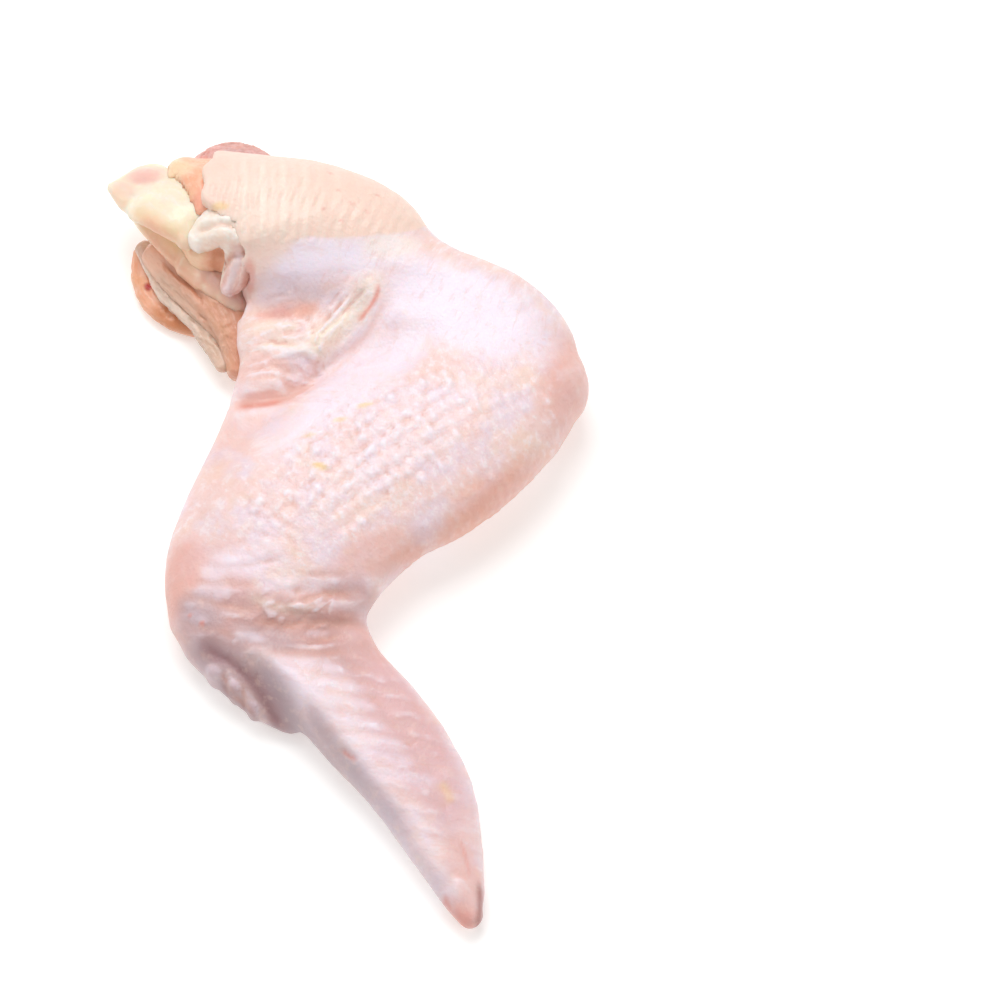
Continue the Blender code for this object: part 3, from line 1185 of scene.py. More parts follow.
@dataclass
class WingSkin(Tissue):
    """The skin from the sleeve at the shoulder to the tip of the hand.

    Attributes:
        cuff_edge: The lower edge of the thicker band of skin round the drumette.
        cuff_lost: Where that edge has gone and where it is clear again, by x.
        cuff_clear: How soft it is where it is clear.
        cuff_soft: How much softer it is where it has gone.
    """

    node: str = "wing_skin"
    slot: Slot = Slot.SKIN
    finish: WetFinish = WetFinish(
        "wing_skin", base=(246, 213, 208), cloud=(240, 218, 226), warm=(248, 216, 200), streak=(253, 238, 240),
        # Tip is a painted highlight on raised places; dip is painted shade in hollows and the colour of the
        # dark streaks
        tip=(253, 242, 250), dark_streak_and_shade=(228, 178, 164),
        # Tones of the skin; blush, mauve and dusk also hold painted shade, lilac and cream painted highlights
        tints=(
            (Tint.BLUSH_AND_SHADE, (236, 182, 170)), (Tint.MAUVE_AND_SHADE, (228, 186, 188)), (Tint.DUSK_AND_SHADE, (212, 170, 166)),
            (Tint.LILAC_AND_HIGHLIGHT, (250, 236, 248)), (Tint.CREAM_AND_HIGHLIGHT, (252, 234, 216)),
        ),
        # Grey, shade, crease and peach hold painted shade, peach also warm reflected light; sheen and pale are
        # painted highlights; cuff, yolk, rose and claw are tones
        stains_shade_and_highlights=(
            (Tint.CUFF, (250, 218, 203)), (Tint.SHEEN, (255, 238, 224)), (Tint.GREY_AND_SHADE, (189, 166, 172)),
            (Tint.SHADE, (160, 120, 124)), (Tint.PALE_HIGHLIGHT, (222, 202, 212)), (Tint.CREASE, (210, 158, 144)),
            (Tint.YOLK, (246, 208, 128)), (Tint.PEACH_AND_PAINTED_LIGHT, (240, 170, 142)), (Tint.ROSE, (228, 138, 120)),
            (Tint.CLAW, (158, 84, 76)),
        ),
        clouds=9.0, relief_shading=0.7, roughness=0.42, coat=0.08, grain=0.16,
    )
    relief: Relief = Relief(
        follicle=0.42, rib=0.26, wrinkle=0.34, swell=0.5, swell_size=7.5, wander=0.9, seed=4.0,
    )
    voxel: float = 0.55
    rounds: int = 10
    grow: float = 0.05
    eased: Marks = (
        Patch(0, 37, 15, 9, 45, 1.0, 0.4), Patch(-10, 42, 14, 5, 10, 0.5, 0.5),
        Patch(2, 54, 24, 5, 8, 1.0, 0.5), Patch(20, 60, 10, 5, -60, 0.8, 0.5),
        Patch(24, 38, 20, 9, -15, 1.0, 0.5),
    )
    eased_rounds: int = 130
    filled: Marks = (
        Patch(22, 33, 24, 10, 0, 1.0, 0.4), Patch(10, 46, 9, 7, 0, 1.0, 0.5), Patch(-7, 44, 20, 6, 6, 0.9, 0.5),
        Patch(3, 35, 14, 5, 45, 0.7, 0.5), Patch(-18, -33, 13, 5.5, -42, 1.0, 0.5),
    )
    folds: tuple[Fold, ...] = (
        Fold(
            0.35, 1.3,
            ((9.5, 47), (8, 42.5), (4.7, 36.5), (0.1, 32.5), (-4, 30.5), (-8.7, 26), (-14, 24), (-20.5, 23.5)),
            0.3, 0.1,
        ),
        Fold(-0.4, 3.0, ((6, 50), (5.3, 45.7), (2.7, 41.7), (-0.8, 38), (-5.1, 35.3), (-9.7, 33.7), (-15, 34))),
        Fold(0.15, 0.6, ((5, 47), (3.8, 44), (1, 41), (-2.5, 37.6), (-7, 35.6)), 0.15),
        Fold(0.12, 0.5, ((3.5, 48), (2.3, 45), (-0.5, 42), (-4.5, 38.4), (-9, 36.6)), 0.15),
        Fold(0.15, 0.6, ((6.2, 44), (3.6, 39.4), (0.4, 36), (-4, 33)), 0.15),
        Fold(0.3, 2.6, ((-19.9, 44), (-14.9, 43), (-8.9, 43.6), (-3, 41), (0, 43.5), (3, 47)), 0.0, 0.15),
        Fold(-0.35, 0.9, ((-20, 39.4), (-14, 38.9), (-8, 37.6)), 0.15),
        Fold(-0.45, 1.0, ((-19, 34.8), (-12, 34.4), (-6.7, 33), (-2, 33.4)), 0.2),
        Fold(-0.35, 0.9, ((-20.5, 31), (-14.6, 30.6), (-8.7, 30.2), (-4.5, 31)), 0.2),
        Fold(-0.35, 0.8, ((-21, 27.4), (-16, 27), (-11.5, 27.2)), 0.2),
        Fold(0.5, 1.4, ((-22, 23.2), (-17, 22.6), (-12, 23.4), (-8.5, 25.6)), 0.3),
        Fold(0.15, 0.7, ((-7.5, -15.8), (-3, -15.4), (2, -15.2)), 0.05, 0.4),
        Fold(0.2, 0.8, ((-9, -20), (-5, -19.6), (-1.5, -18.6), (3.5, -19)), 0.05, 0.6),
        Fold(0.3, 1.0, ((-19, -25), (-13.7, -24.4), (-7.4, -24.6), (0.4, -23), (4.5, -21)), 0.1, 0.7),
        Fold(0.2, 0.7, ((-7, -28.6), (-3.5, -27.4), (0, -25.8)), 0.05, 0.3),
        Fold(0.2, 0.7, ((-31, -18), (-25.9, -19.7), (-20.8, -21.5), (-16, -22.2)), 0.05, 0.35),
        Fold(0.2, 0.7, ((-31.5, -22), (-28, -24.5), (-23.5, -25.5), (-19, -27.5)), 0.05, 0.35),
        Fold(0.15, 0.7, ((-27, -12), (-21, -13.6), (-15, -13.2), (-10, -12)), 0.05, 0.2),
        Fold(0.15, 0.7, ((-29, -15.4), (-22, -17), (-15, -17.4)), 0.05, 0.25),
        Fold(0.2, 0.8, ((-13, -29.6), (-8, -30.6), (-3, -30.2), (2, -28.4)), 0.05, 0.3),
        Fold(
            1.0, 1.5,
            ((-28, -26.6), (-25.4, -28.3), (-20.2, -31.2), (-16.5, -34.6), (-13.4, -38.4), (-10, -44)), 0.3,
        ),
        Fold(0.4, 0.5, ((-23, -34.6), (-19.6, -37), (-15.6, -40.6)), 0.2, 0.5),
        Fold(0.4, 0.5, ((-22.8, -32.4), (-21.6, -34.4), (-21.6, -36)), 0.2, 0.5),
        Fold(0.4, 0.5, ((-19, -35), (-18.2, -37.2), (-18.4, -39)), 0.2, 0.5),
        Fold(-0.3, 3.2, ((-13, -30), (-9.2, -34.7), (-5, -40.9), (-0.5, -46.5), (2.7, -50.7), (7, -56.2))),
        Fold(0.25, 0.5, ((0.4, -49), (2.3, -50.6), (4.2, -51.6)), 0.2, 0.2),
        Fold(0.4, 2.2, ((34.7, 42), (39.6, 37.1), (42.6, 33.8))),
        Fold(-0.25, 1.0, ((-17.4, -15), (-14, -16.4), (-10.6, -18)), 0.05),
        Fold(-0.35, 1.0, ((-18.6, -18.8), (-11.8, -21.8), (-3, -21.6)), 0.05),
        Fold(-0.25, 1.2, ((-21.4, -26.6), (-16, -27.4), (-11, -27.6)), 0.05),
    )
    lumps: Marks = (
        Patch(-20.2, -35.2, 2.2, 1.3, -40, 0.8, 0.9), Patch(-16.6, -38.9, 2.0, 1.2, -45, 0.8, 0.9),
        Patch(-24.2, -32.2, 2.4, 1.4, -30, 0.7, 0.9), Patch(-26.4, -24.0, 1.6, 1.3, 0, 0.3, 0.9),
        Patch(-28.8, -20.4, 1.8, 1.4, 0, 0.25, 0.9), Patch(-3.4, -24.1, 1.7, 0.8, 5, 0.4, 0.8),
        Patch(-13.5, -22.6, 2.2, 1.0, -20, 0.4, 0.8), Patch(23.4, -75.6, 3.2, 2.0, -70, 0.5, 0.8),
        Patch(-13.0, -10.5, 5.0, 3.0, -20, 0.4, 0.9), Patch(-22.0, -13.0, 4.0, 3.0, -20, 0.3, 0.9),
    )
    regions: tuple[Region, ...] = (
        Region(
            ((-32.5, 64.4), (-7, 59.4), (11.5, 52), (30.5, 42.4), (46, 39)), 2.2, 4.0,
            plucked=(Patch(-12, 62, 34, 14, -8, 0.15), Patch(22, 48, 20, 10, -28, 0.1)),
            ribbed=(Patch(-15, 60, 19, 13, -8, 0.9), Patch(6, 60, 12, 9, -8, 0.4)),
        ),
        Region(
            ((52, 34), (40.5, 29.4), (13.5, 14.4), (-8, -2), (-20.5, -19)), 2.2, 1.55,
            plucked=(
                Patch(10, 10, 34, 17, 39, 0.85, 0.5), Patch(-2, 12, 16, 10, 39, 1.0, 0.7),
                Patch(-14, -3, 14, 10, 39, 0.8), Patch(32, 14, 22, 11, 50, 0.5, 0.5),
                Patch(26, -1, 30, 8, 42, 0.45, 0.5),
            ),
        ),
        Region(
            ((-14, -19), (-12, -25), (-9, -30.5)), 2.3, 1.9,
            plucked=(Patch(-13, -18, 20, 12, 0, 0.7, 0.5), Patch(-22, -24, 9, 9, 0, 0.8)),
        ),
        Region(
            ((4, -30), (3, -52), (0, -84)), 3.7, 3.0,
            plucked=(Patch(10, -50, 32, 10, -62, 0.15, 0.5), Patch(20, -68, 12, 6, -64, 0.3)),
            ribbed=(
                Patch(6, -42, 22, 10, -60, 0.8, 0.7), Patch(14, -48, 24, 7, -62, 0.6),
                Patch(-4, -34, 9, 6, -40, 0.7), Patch(14, -60, 18, 7, -64, 0.5, 0.8),
            ),
        ),
        Region(
            ((-14, 46), (-14, 34), (-16, 22)), 2.5, 2.6, plucked=(Patch(-12, 34, 10, 12, 0, 0.6),),
            ribbed=(Patch(-12, 33, 10, 9, 0, 0.5),),
        ),
        Region(((-6, 46), (0, 41), (6, 36)), 1.8, 3.0, ribbed=(Patch(0, 41, 14, 4.5, 50, 0.45),)),
    )
    wrinkled: Marks = (
        Patch(-9, -23, 16, 9, 10, 0.25), Patch(-22, -23, 11, 9, -20, 0.3), Patch(-16, -35, 10, 5, -40, 0.7),
        Patch(-11, 34, 12, 12, 0, 0.9), Patch(0, 41, 14, 5, 50, 0.8), Patch(-12, 45, 12, 4, 8, 0.4),
        Patch(8, -46, 26, 9, -58, 0.3), Patch(-10, 62, 26, 10, -8, 0.12), Patch(2, 8, 26, 13, 42, 0.55),
    )
    paint: tuple[Layer, ...] = (
        # Painted shade with pinker skin: the wrist, the flat's lower edge, the elbow's right edge, the web and
        # the hand
        layer(
            Tint.BLUSH_AND_SHADE, Patch(-31, -16, 14, 7, 80), Patch(-21, 16, 22, 6, 70, 0.25),
            Patch(46, 27, 18, 9, 75, 0.8), Patch(29, 0, 24, 4, 42, 0.3), Patch(7, -11, 14, 5, 25, 0.6),
            Patch(4, -27, 13, 6, -40, 0.85), Patch(-6, -28.5, 12, 4, 0, 0.7), Patch(-10, -24, 18, 7, 5, 0.6),
            Patch(-22, -18, 9, 6, -20, 0.6), Patch(-16, 29, 8, 5, 0, 0.4), Patch(-16, 23.6, 7, 3, 0, 0.8),
            Patch(-10.4, 41.8, 6, 2.6, 0, 0.9), Patch(13, -43, 22, 6, -62, 0.6),
            Patch(24, -72, 10, 4, -66, 0.6),
        ),
        # Painted shade with pinker skin on the hand and the wrist
        layer(
            Tint.MAUVE_AND_SHADE, Patch(13, -46, 30, 9, -60, 0.8, 0.5), Patch(-24, -12, 10, 7, 0, 0.4),
            Patch(-22, -21, 9, 5, -10, 0.7),
        ),
        # Painted shade with duskier skin: the wrist, the thumb's outer edge and the valley under the cuff
        layer(
            Tint.DUSK_AND_SHADE, Patch(-12, -25.5, 22, 8, -8), Patch(-25, -24, 9, 11, -30, 0.8, 0.7),
            Patch(-4, -31, 13, 4.5, -10, 0.7), Patch(2, -19, 9, 3.4, 10, 0.8),
            Stroke(1.6, 0.8, ((-29, -30), (-24, -36), (-19, -40.6), (-14, -44.6), (-9, -49))),
            Patch(-10, 41.6, 6, 2.4, 0, 0.8, 0.7),
        ),
        # Painted highlights: the elbow, the band under the cuff, the fold's ridge and the ribs of the hand,
        # with pale patches of skin on the wrist
        layer(
            Tint.LILAC_AND_HIGHLIGHT, Patch(2, 24, 30, 8, 45, 0.75),
            Stroke(1.8, 0.6, ((12, 50), (9, 45), (5, 37.6), (0, 33), (-6, 28.6), (-12, 25))),
            Patch(-1.4, 43.8, 5, 2.2, 20, 0.6), Patch(12, 12, 26, 9, 42, 0.4), Patch(24, 40, 24, 12, -24, 0.95),
            Stroke(4.2, 1.0, ((-20, 45.6), (-8, 49.6), (-2.8, 50.6), (3.1, 50.4), (10, 52.4), (17, 55.5))),
            Patch(-20, -12.6, 7, 4.4, -10, 0.7, 0.8), Patch(-16.5, -27.4, 3.4, 1.4, -10, 0.7),
            Patch(-4.4, -25.8, 2.8, 1.1, 10, 0.35), Patch(-8, -17.6, 6, 2.6, 0, 0.4),
            Patch(-24.6, -18, 5, 3.0, 0, 0.5), Patch(-27.9, -23.2, 3.4, 2.4, -20, 0.5),
            *(
                Stroke(1.35, 0.55, ((x - 4, y), (x + 4, y - 0.4), (x + 14, y - 1.2)))
                for x, y in (
                    (-11, -32.4), (-8, -36), (-6, -39.4), (-3, -43.6), (0.6, -47), (2.7, -50.2), (6.5, -54),
                )
            ),
            Patch(-24, -14, 4, 3, 0, 0.6), Patch(-14, -11, 6, 3, -20, 0.4),
            Stroke(2.4, 0.6, ((-13.4, -31.4), (-9.4, -36), (-5, -41), (-0.4, -46))),
            Stroke(1.2, 0.55, ((12.6, -59.2), (15.2, -63), (17.7, -69))),
        ),
        # Painted highlights along the ridges of the web and the fold, and a pale line on the hand
        layer(
            Tint.CREAM_AND_HIGHLIGHT,
            Stroke(2.4, 0.9, ((6, 49), (5, 45.7), (2.5, 41.7), (-0.8, 38), (-5.1, 35.3), (-9.7, 33.7))),
            Stroke(1.2, 0.7, ((-18, 34.8), (-12, 34.4), (-6.7, 33), (-2, 33.4))),
            Stroke(1.1, 0.6, ((-19.4, 38.9), (-14, 38.9), (-8, 37.6))), Patch(9, 53, 8, 4, 10, 0.5),
            Stroke(0.9, 0.4, ((-18.6, -18.8), (-11.8, -21.8), (-3, -21.6))),
            Stroke(0.5, 0.7, ((-2, -50), (3, -55.5), (10, -64))),
        ),
        # Painted shade: the hand's steep left side, the thumb's groove and the valley under the cuff
        layer(
            Tint.GREY_AND_SHADE,
            Stroke(
                2.5, 1.0,
                (
                    (-21, -28), (-15, -33), (-11.4, -38), (-8, -43.5), (-3.5, -49), (0.5, -54), (5, -59.5),
                    (10, -67),
                ),
            ),
            Stroke(4.0, 0.7, ((-18, -40), (-8, -48.6), (-2, -55), (4, -62), (9, -69))),
            Stroke(
                2.2, 0.8,
                ((-9, -37.6), (-4.6, -43.6), (-0.6, -48.6), (3.6, -54), (7.4, -58.6), (11, -62.6), (15, -68)),
            ),
            Stroke(3.0, 0.6, ((-30, -24), (-25, -31), (-19, -37.6), (-13, -43))),
            Stroke(2.2, 0.4, ((-21, 44.8), (-11.8, 45.2), (-3.8, 44.4), (1.5, 46.4))),
            Patch(3, 43, 4, 2.4, 60, 0.3), Patch(-14, -27.5, 9, 3.4, -15, 0.5), Patch(-27, -22, 7, 5, -40, 0.6),
            Patch(3.8, -52.5, 2.4, 1.4, -50, 0.5),
        ),
        layer(
            Tint.SHADE,
            Stroke(
                1.9, 0.9,
                ((-29, -26), (-25.4, -28.3), (-20.2, -31.4), (-16.5, -34.9), (-13.4, -38.8), (-9.4, -45.6)),
            ),
            Stroke(0.6, 0.7, ((-24.4, -33.4), (-19.6, -37), (-14.6, -41.6))),
            Stroke(1.0, 0.5, ((-12, -46), (-7, -51.6), (0, -59.2), (8, -67))),
        ),
        # Painted highlights on the lower hand and on the lumps of the thumb
        layer(
            Tint.PALE_HIGHLIGHT,
            Stroke(3.4, 0.6, ((2, -54), (8, -61), (12.6, -66.6), (16.6, -72.6), (19.6, -78), (22, -84))),
            Patch(-20.2, -35.0, 2.2, 1.0, -40, 0.6), Patch(-16.4, -39.0, 1.9, 0.9, -45, 0.7),
            Patch(-24.2, -32.0, 2.4, 1.1, -30, 0.5),
        ),
        layer(
            Tint.SHEEN,
            *(
                Stroke(0.8, strength, ((x - 0.2, 74), (x + 0.5, 62), (x + 0.6, 49.5)))
                for x, strength in (
                    (-22.4, 0.25), (-20.2, 0.6), (-18.1, 0.35), (-16.6, 0.65), (-14.6, 0.4), (-12.6, 0.6),
                    (-10.4, 0.3), (-8.4, 0.45), (-5.4, 0.2), (-1.8, 0.25),
                )
            ),
        ),
        layer(
            Tint.YOLK, Patch(-4, 5.9, 2.2, 0.9, -20, 0.75), Patch(4.5, 18.9, 2.2, 0.7, 10, 0.6),
            Patch(-0.4, 15.9, 2.0, 0.7, 10, 0.45), Patch(-6.2, 12.9, 1.8, 0.8, 0, 0.4),
            Stroke(0.9, 0.35, ((19.4, -54.3), (20.7, -56.6), (21.7, -59.2))),
            Patch(-24.5, 59.5, 2.4, 1.2, 0, 0.5),
        ),
        layer(
            Tint.ROSE, Stroke(0.9, 0.6, ((-21.5, 23), (-16, 22.4), (-11.5, 23.4))),
            Stroke(0.45, 0.8, ((6.8, 46), (6.3, 42.9), (3.9, 39.6), (2.5, 37.8))),
            Stroke(0.3, 0.5, ((0.8, -49.2), (2.4, -50.7), (3.8, -51.6))),
            Stroke(0.35, 0.3, ((22.8, -65), (24.2, -69), (25.2, -73.4))),
            Stroke(0.7, 0.6, ((20, -76.4), (21.8, -79.6), (23.6, -82))),
            Patch(23.8, -81.6, 7, 5, -60, 0.7, 1.0),
            Stroke(1.2, 0.35, ((-18.5, 41.8), (-14.5, 41.4), (-10.5, 42.2))),
            Patch(-26.4, -24.2, 0.8, 0.7, 0, 0.6), Patch(-28.8, -22.4, 0.7, 0.6, 0, 0.5),
            *(
                Patch(x, y, 1.0, 0.5, -30, 0.4, 0.9)
                for x, y in (
                    (-3, 68.7), (-1.3, 64), (1.3, 61), (4.4, 59.4), (-4.2, 59.2), (-0.6, 57), (6.5, 64),
                )
            ),
            Patch(-18.9, 48.6, 1.6, 2.6, 0, 0.5),
        ),
        # Painted shade and warm reflected light along the flat's lower edge, and painted shade in the valley
        # under the cuff
        layer(
            Tint.PEACH_AND_PAINTED_LIGHT, Patch(28, 0.6, 26, 4.8, 42, 0.7, 1.0), Patch(26, 2, 12, 3.2, 42, 0.5, 1.0),
            Patch(-8.4, 41.2, 5, 2.4, 12, 0.55, 0.9), Patch(34, 8, 4, 2.2, 48, 0.4, 0.9),
            Patch(14, -9.4, 9, 1.8, 24, 0.5, 1.0),
        ),
        layer(Tint.CLAW, Stroke(0.7, 0.7, ((26.8, -73), (27.0, -80), (25.6, -86)))),
    )
    cuff_edge: Line = (
        (-32, 50.5), (-22, 48.5), (-16.3, 48.7), (-12.7, 50.7), (-9.7, 52.8), (-6.7, 53.7), (-2.8, 53.6),
        (3.1, 54.2), (8, 55.1), (11, 55.8), (14.9, 57.9), (17, 62.4),
    )
    cuff_lost: tuple[float, float] = (-18, -7)
    cuff_clear: float = 0.3
    cuff_soft: float = 5.0

    def mark_more(self, surface: Surface) -> None:
        """Marks the band of skin round the drumette, with a clear edge at the right and a lost one at the left.

        Args:
            surface: The skin.
        """
        beside = track(surface.places, smooth_line(self.cuff_edge))
        lost = 1 - smooth_step(surface.places[:, 0], *self.cuff_lost)
        reach = beside.distance * beside.side / (self.cuff_clear + self.cuff_soft * lost)
        surface.mark(Tint.CUFF, smooth_step(reach, -1, 1))


@dataclass
class FatFlap(Tissue):
    """The cream-yellow fat that hangs out at the left of the cut shoulder."""

    node: str = "fat_flap"
    slot: Slot = Slot.FAT
    finish: WetFinish = WetFinish(
        "fat_flap", base=(255, 238, 214), cloud=(255, 232, 212), warm=(255, 234, 204), streak=(255, 240, 230),
        tip=(255, 238, 222), dark_streak_and_shade=(252, 216, 188),
        # Peach is the drape's tone, painted lighter to lift the shade on it
        tints=(
            (Tint.BLUSH_AND_SHADE, (252, 202, 190)), (Tint.YOLK, (255, 230, 186)), (Tint.PEACH_AND_PAINTED_LIGHT, (255, 216, 188)),
            (Tint.LILAC_AND_HIGHLIGHT, (232, 188, 176)), (Tint.TAN, (240, 188, 156)),
        ),
        # Crease is painted shade in folds and hollows
        stains_shade_and_highlights=((Tint.ROSE, (232, 164, 156)), (Tint.CREASE, (255, 224, 196))), glow=0.6, coat=0.25, grain=0.05,
    )
    relief: Relief = Relief(wrinkle=0.08, swell=0.6, swell_size=5.0, seed=2.0)
    grow: float = 0.45
    eased: Marks = (Patch(-34, 57, 10, 6, -40, 1.0, 0.5),)
    eased_rounds: int = 120
    filled: Marks = (Patch(-33, 55, 10, 7, -40, 1.0, 0.4),)
    filled_rounds: int = 500
    folds: tuple[Fold, ...] = (Fold(0.2, 0.7, ((-29.4, 52.8), (-27.4, 50.4), (-25.6, 48.4)), 0.2, 0.1),)
    lumps: Marks = (
        Stroke(2.4, 0.8, ((-34, 55.6), (-30.6, 53.4), (-27.6, 51.4))),
        Patch(-39.8, 73, 3.2, 1.6, -20, 0.4, 0.8), Patch(-40, 65, 4, 3, 0, 0.4, 0.9),
        Stroke(1.6, -1.2, ((-37, 79), (-33.6, 72.6), (-30.6, 69), (-27.4, 63.6), (-25, 58))),
    )
    regions: tuple[Region, ...] = (Region(((-47, 69), (-37, 63), (-30, 53), (-21, 46)), 5.0, 0.5),)
    wrinkled: Marks = (Patch(-35, 62, 18, 12, -50, 0.6),)
    paint: tuple[Layer, ...] = (
        layer(Tint.BLUSH_AND_SHADE, Patch(-40.5, 72.4, 6, 3.4, -10, 0.95, 0.7), Patch(-45, 70, 4, 2.5, -30, 0.5)),
        layer(Tint.YOLK, Stroke(2.4, 0.75, ((-44, 64.6), (-39, 59.6), (-36, 57.4), (-33, 56), (-29, 52)))),
        # The peach tip and drape, the drape painted lighter to lift its shade
        layer(
            Tint.PEACH_AND_PAINTED_LIGHT, Stroke(1.3, 0.9, ((-48.4, 70.4), (-46, 68), (-44, 66))),
            Stroke(2.6, 0.9, ((-34, 58), (-31.4, 54.4), (-30, 52), (-28.4, 50.6), (-25, 48.6))),
        ),
        layer(
            Tint.TAN,
            Stroke(
                2.0, 1.0,
                ((-44, 64), (-38, 57.8), (-34.8, 54.6), (-32, 51.4), (-28.6, 47.6), (-24, 44.6), (-18, 42)),
            ),
            Patch(-34.8, 54.8, 3.6, 1.8, -48),
        ),
        layer(Tint.LILAC_AND_HIGHLIGHT, Stroke(2.4, 1.0, ((-30, 54), (-26.6, 51), (-23, 48.6), (-17, 45)))),
        layer(Tint.ROSE, Stroke(0.8, 0.25, ((-43.8, 71.8), (-40.8, 71.3), (-37.4, 70)))),
    )


@dataclass
class ArmMeat(Tissue):
    """The orange-pink muscle at the cut shoulder."""

    node: str = "arm_meat"
    slot: Slot = Slot.MEAT
    finish: WetFinish = WetFinish(
        "arm_meat", base=(252, 190, 158), cloud=(250, 182, 148), warm=(253, 200, 162), streak=(254, 210, 184),
        tip=(253, 214, 190), dark_streak_and_shade=(246, 170, 138),
        tints=(
            (Tint.CREAM_AND_HIGHLIGHT, (253, 220, 182)), (Tint.ROSE, (250, 172, 148)), (Tint.PEACH_AND_PAINTED_LIGHT, (252, 208, 172)),
            (Tint.TAN, (226, 156, 120)), (Tint.LILAC_AND_HIGHLIGHT, (232, 198, 192)),
        ),
        # Crease is painted shade in folds and hollows
        stains_shade_and_highlights=((Tint.CREASE, (222, 140, 110)),), coat=0.25,
    )
    relief: Relief = Relief(wrinkle=0.3, swell=0.5, swell_size=4.0, seed=3.0)
    voxel: float = 0.45
    grow: float = 0.05
    lumps: Marks = (
        Patch(-29.5, 54, 4.4, 3.4, -40, 1.6, 0.8),
        Stroke(2.2, 0.8, ((-36.8, 79), (-33.8, 72.6), (-30.6, 68), (-27.8, 63), (-25, 57))),
    )
    regions: tuple[Region, ...] = (Region(((-36, 74), (-30, 66), (-26, 56)), 4.0, 0.3),)
    wrinkled: Marks = (Patch(-30, 64, 9, 12, 0, 0.6),)
    paint: tuple[Layer, ...] = (
        layer(Tint.CREAM_AND_HIGHLIGHT, Patch(-34.5, 73, 6, 4.4, -40, 0.95, 0.7)),
        layer(Tint.ROSE, Patch(-28.6, 63, 4, 2.6, 70, 0.8, 0.7)),
        layer(Tint.PEACH_AND_PAINTED_LIGHT, Patch(-31, 55, 5, 4, -30, 1.0, 0.5)),
        layer(Tint.TAN, Patch(-25.4, 53, 2.8, 1.6, 0, 1.0, 0.7)),
        layer(Tint.LILAC_AND_HIGHLIGHT, Patch(-25, 50.6, 2.6, 1.4, 0, 0.8, 0.7)),
    )


@dataclass
class ShoulderSlip(Tissue):
    """The small reddish slip of meat above the muscle."""

    node: str = "shoulder_slip"
    slot: Slot = Slot.MEAT
    finish: WetFinish = WetFinish(
        "shoulder_slip", base=(230, 172, 162), cloud=(220, 160, 150), warm=(238, 186, 168),
        streak=(240, 200, 196), tip=(240, 204, 200), dark_streak_and_shade=(214, 150, 142), tints=((Tint.GREY_AND_SHADE, (200, 160, 160)),),
    )
    relief: Relief = Relief(wrinkle=0.35, swell=0.5, swell_size=3.0, seed=5.0)
    grow: float = 0.2
    regions: tuple[Region, ...] = (Region(((-33, 77), (-25, 79.5), (-12, 77)), 3.0, 0.35),)
    wrinkled: Marks = (Patch(-24, 78, 12, 6, 0, 0.8),)
    paint: tuple[Layer, ...] = (layer(Tint.GREY_AND_SHADE, Stroke(1.2, 0.6, ((-29, 77.6), (-23, 79), (-16, 77.4)))),)


@dataclass
class Gristle(Tissue):
    """The white block and roll of gristle and the dusky pink curl below them."""

    node: str = "gristle"
    slot: Slot = Slot.GRISTLE
    finish: WetFinish = WetFinish(
        "gristle", base=(255, 242, 230), cloud=(254, 234, 222), warm=(255, 238, 220), streak=(255, 250, 246),
        tip=(255, 250, 246), dark_streak_and_shade=(252, 226, 212),
        # Peach is painted shade under the roll
        tints=((Tint.PEACH_AND_PAINTED_LIGHT, (248, 212, 188)), (Tint.LILAC_AND_HIGHLIGHT, (234, 184, 172)), (Tint.BLUSH_AND_SHADE, (216, 160, 150))),
        # Pale is a painted highlight on the curl; crease is painted shade
        stains_shade_and_highlights=((Tint.CREASE, (226, 166, 144)), (Tint.PALE_HIGHLIGHT, (246, 228, 230)), (Tint.TAN, (200, 140, 122))),
        relief_shading=0.4, coat=0.25, grain=0.05,
    )
    relief: Relief = Relief(wrinkle=0.3, swell=0.8, swell_size=3.0, seed=6.0)
    grow: float = 0.45
    folds: tuple[Fold, ...] = (
        Fold(0.8, 0.7, ((-30, 56.6), (-26, 56), (-21, 55.6)), 0.3, 0.3),
        Fold(1.5, 0.9, ((-25.6, 50.6), (-22, 51.8), (-17.4, 51.8)), 0.1, 0.9),
        Fold(0.7, 0.7, ((-20.6, 52), (-21.4, 49), (-23, 46), (-24, 43)), 0.4, 0.2),
    )
    lumps: Marks = (
        Stroke(2.8, -1.1, ((-26.6, 49.6), (-24.4, 46), (-21.6, 43.6), (-18, 41))),
        Stroke(1.1, 0.7, ((-28.4, 54.6), (-23.6, 53.9), (-19, 53.6))),
    )
    regions: tuple[Region, ...] = (Region(((-30, 57), (-23, 55), (-20, 51), (-22, 46)), 3.0, 0.4),)
    wrinkled: Marks = (Patch(-24, 52, 8, 8, 0, 0.5),)
    paint: tuple[Layer, ...] = (
        # Painted shade under the roll
        layer(Tint.PEACH_AND_PAINTED_LIGHT, Stroke(0.9, 0.7, ((-29, 54), (-26, 53), (-23, 52.6)))),
        layer(Tint.LILAC_AND_HIGHLIGHT, Patch(-21.8, 46.6, 4.2, 5.0, 0, 1.0, 0.3)),
        # Painted highlight along the top of the curl
        layer(Tint.PALE_HIGHLIGHT, Stroke(0.9, 0.9, ((-20.6, 53), (-21.4, 50.4), (-23, 48), (-25, 46.6)))),
        layer(Tint.BLUSH_AND_SHADE, Patch(-22.8, 45.8, 3.6, 3.0, 60, 1.0, 0.7)),
        layer(
            Tint.TAN, Stroke(1.0, 1.0, ((-18.6, 53), (-18.6, 50.6), (-19.2, 47.6), (-20.6, 45), (-22.4, 43))),
        ),
    )


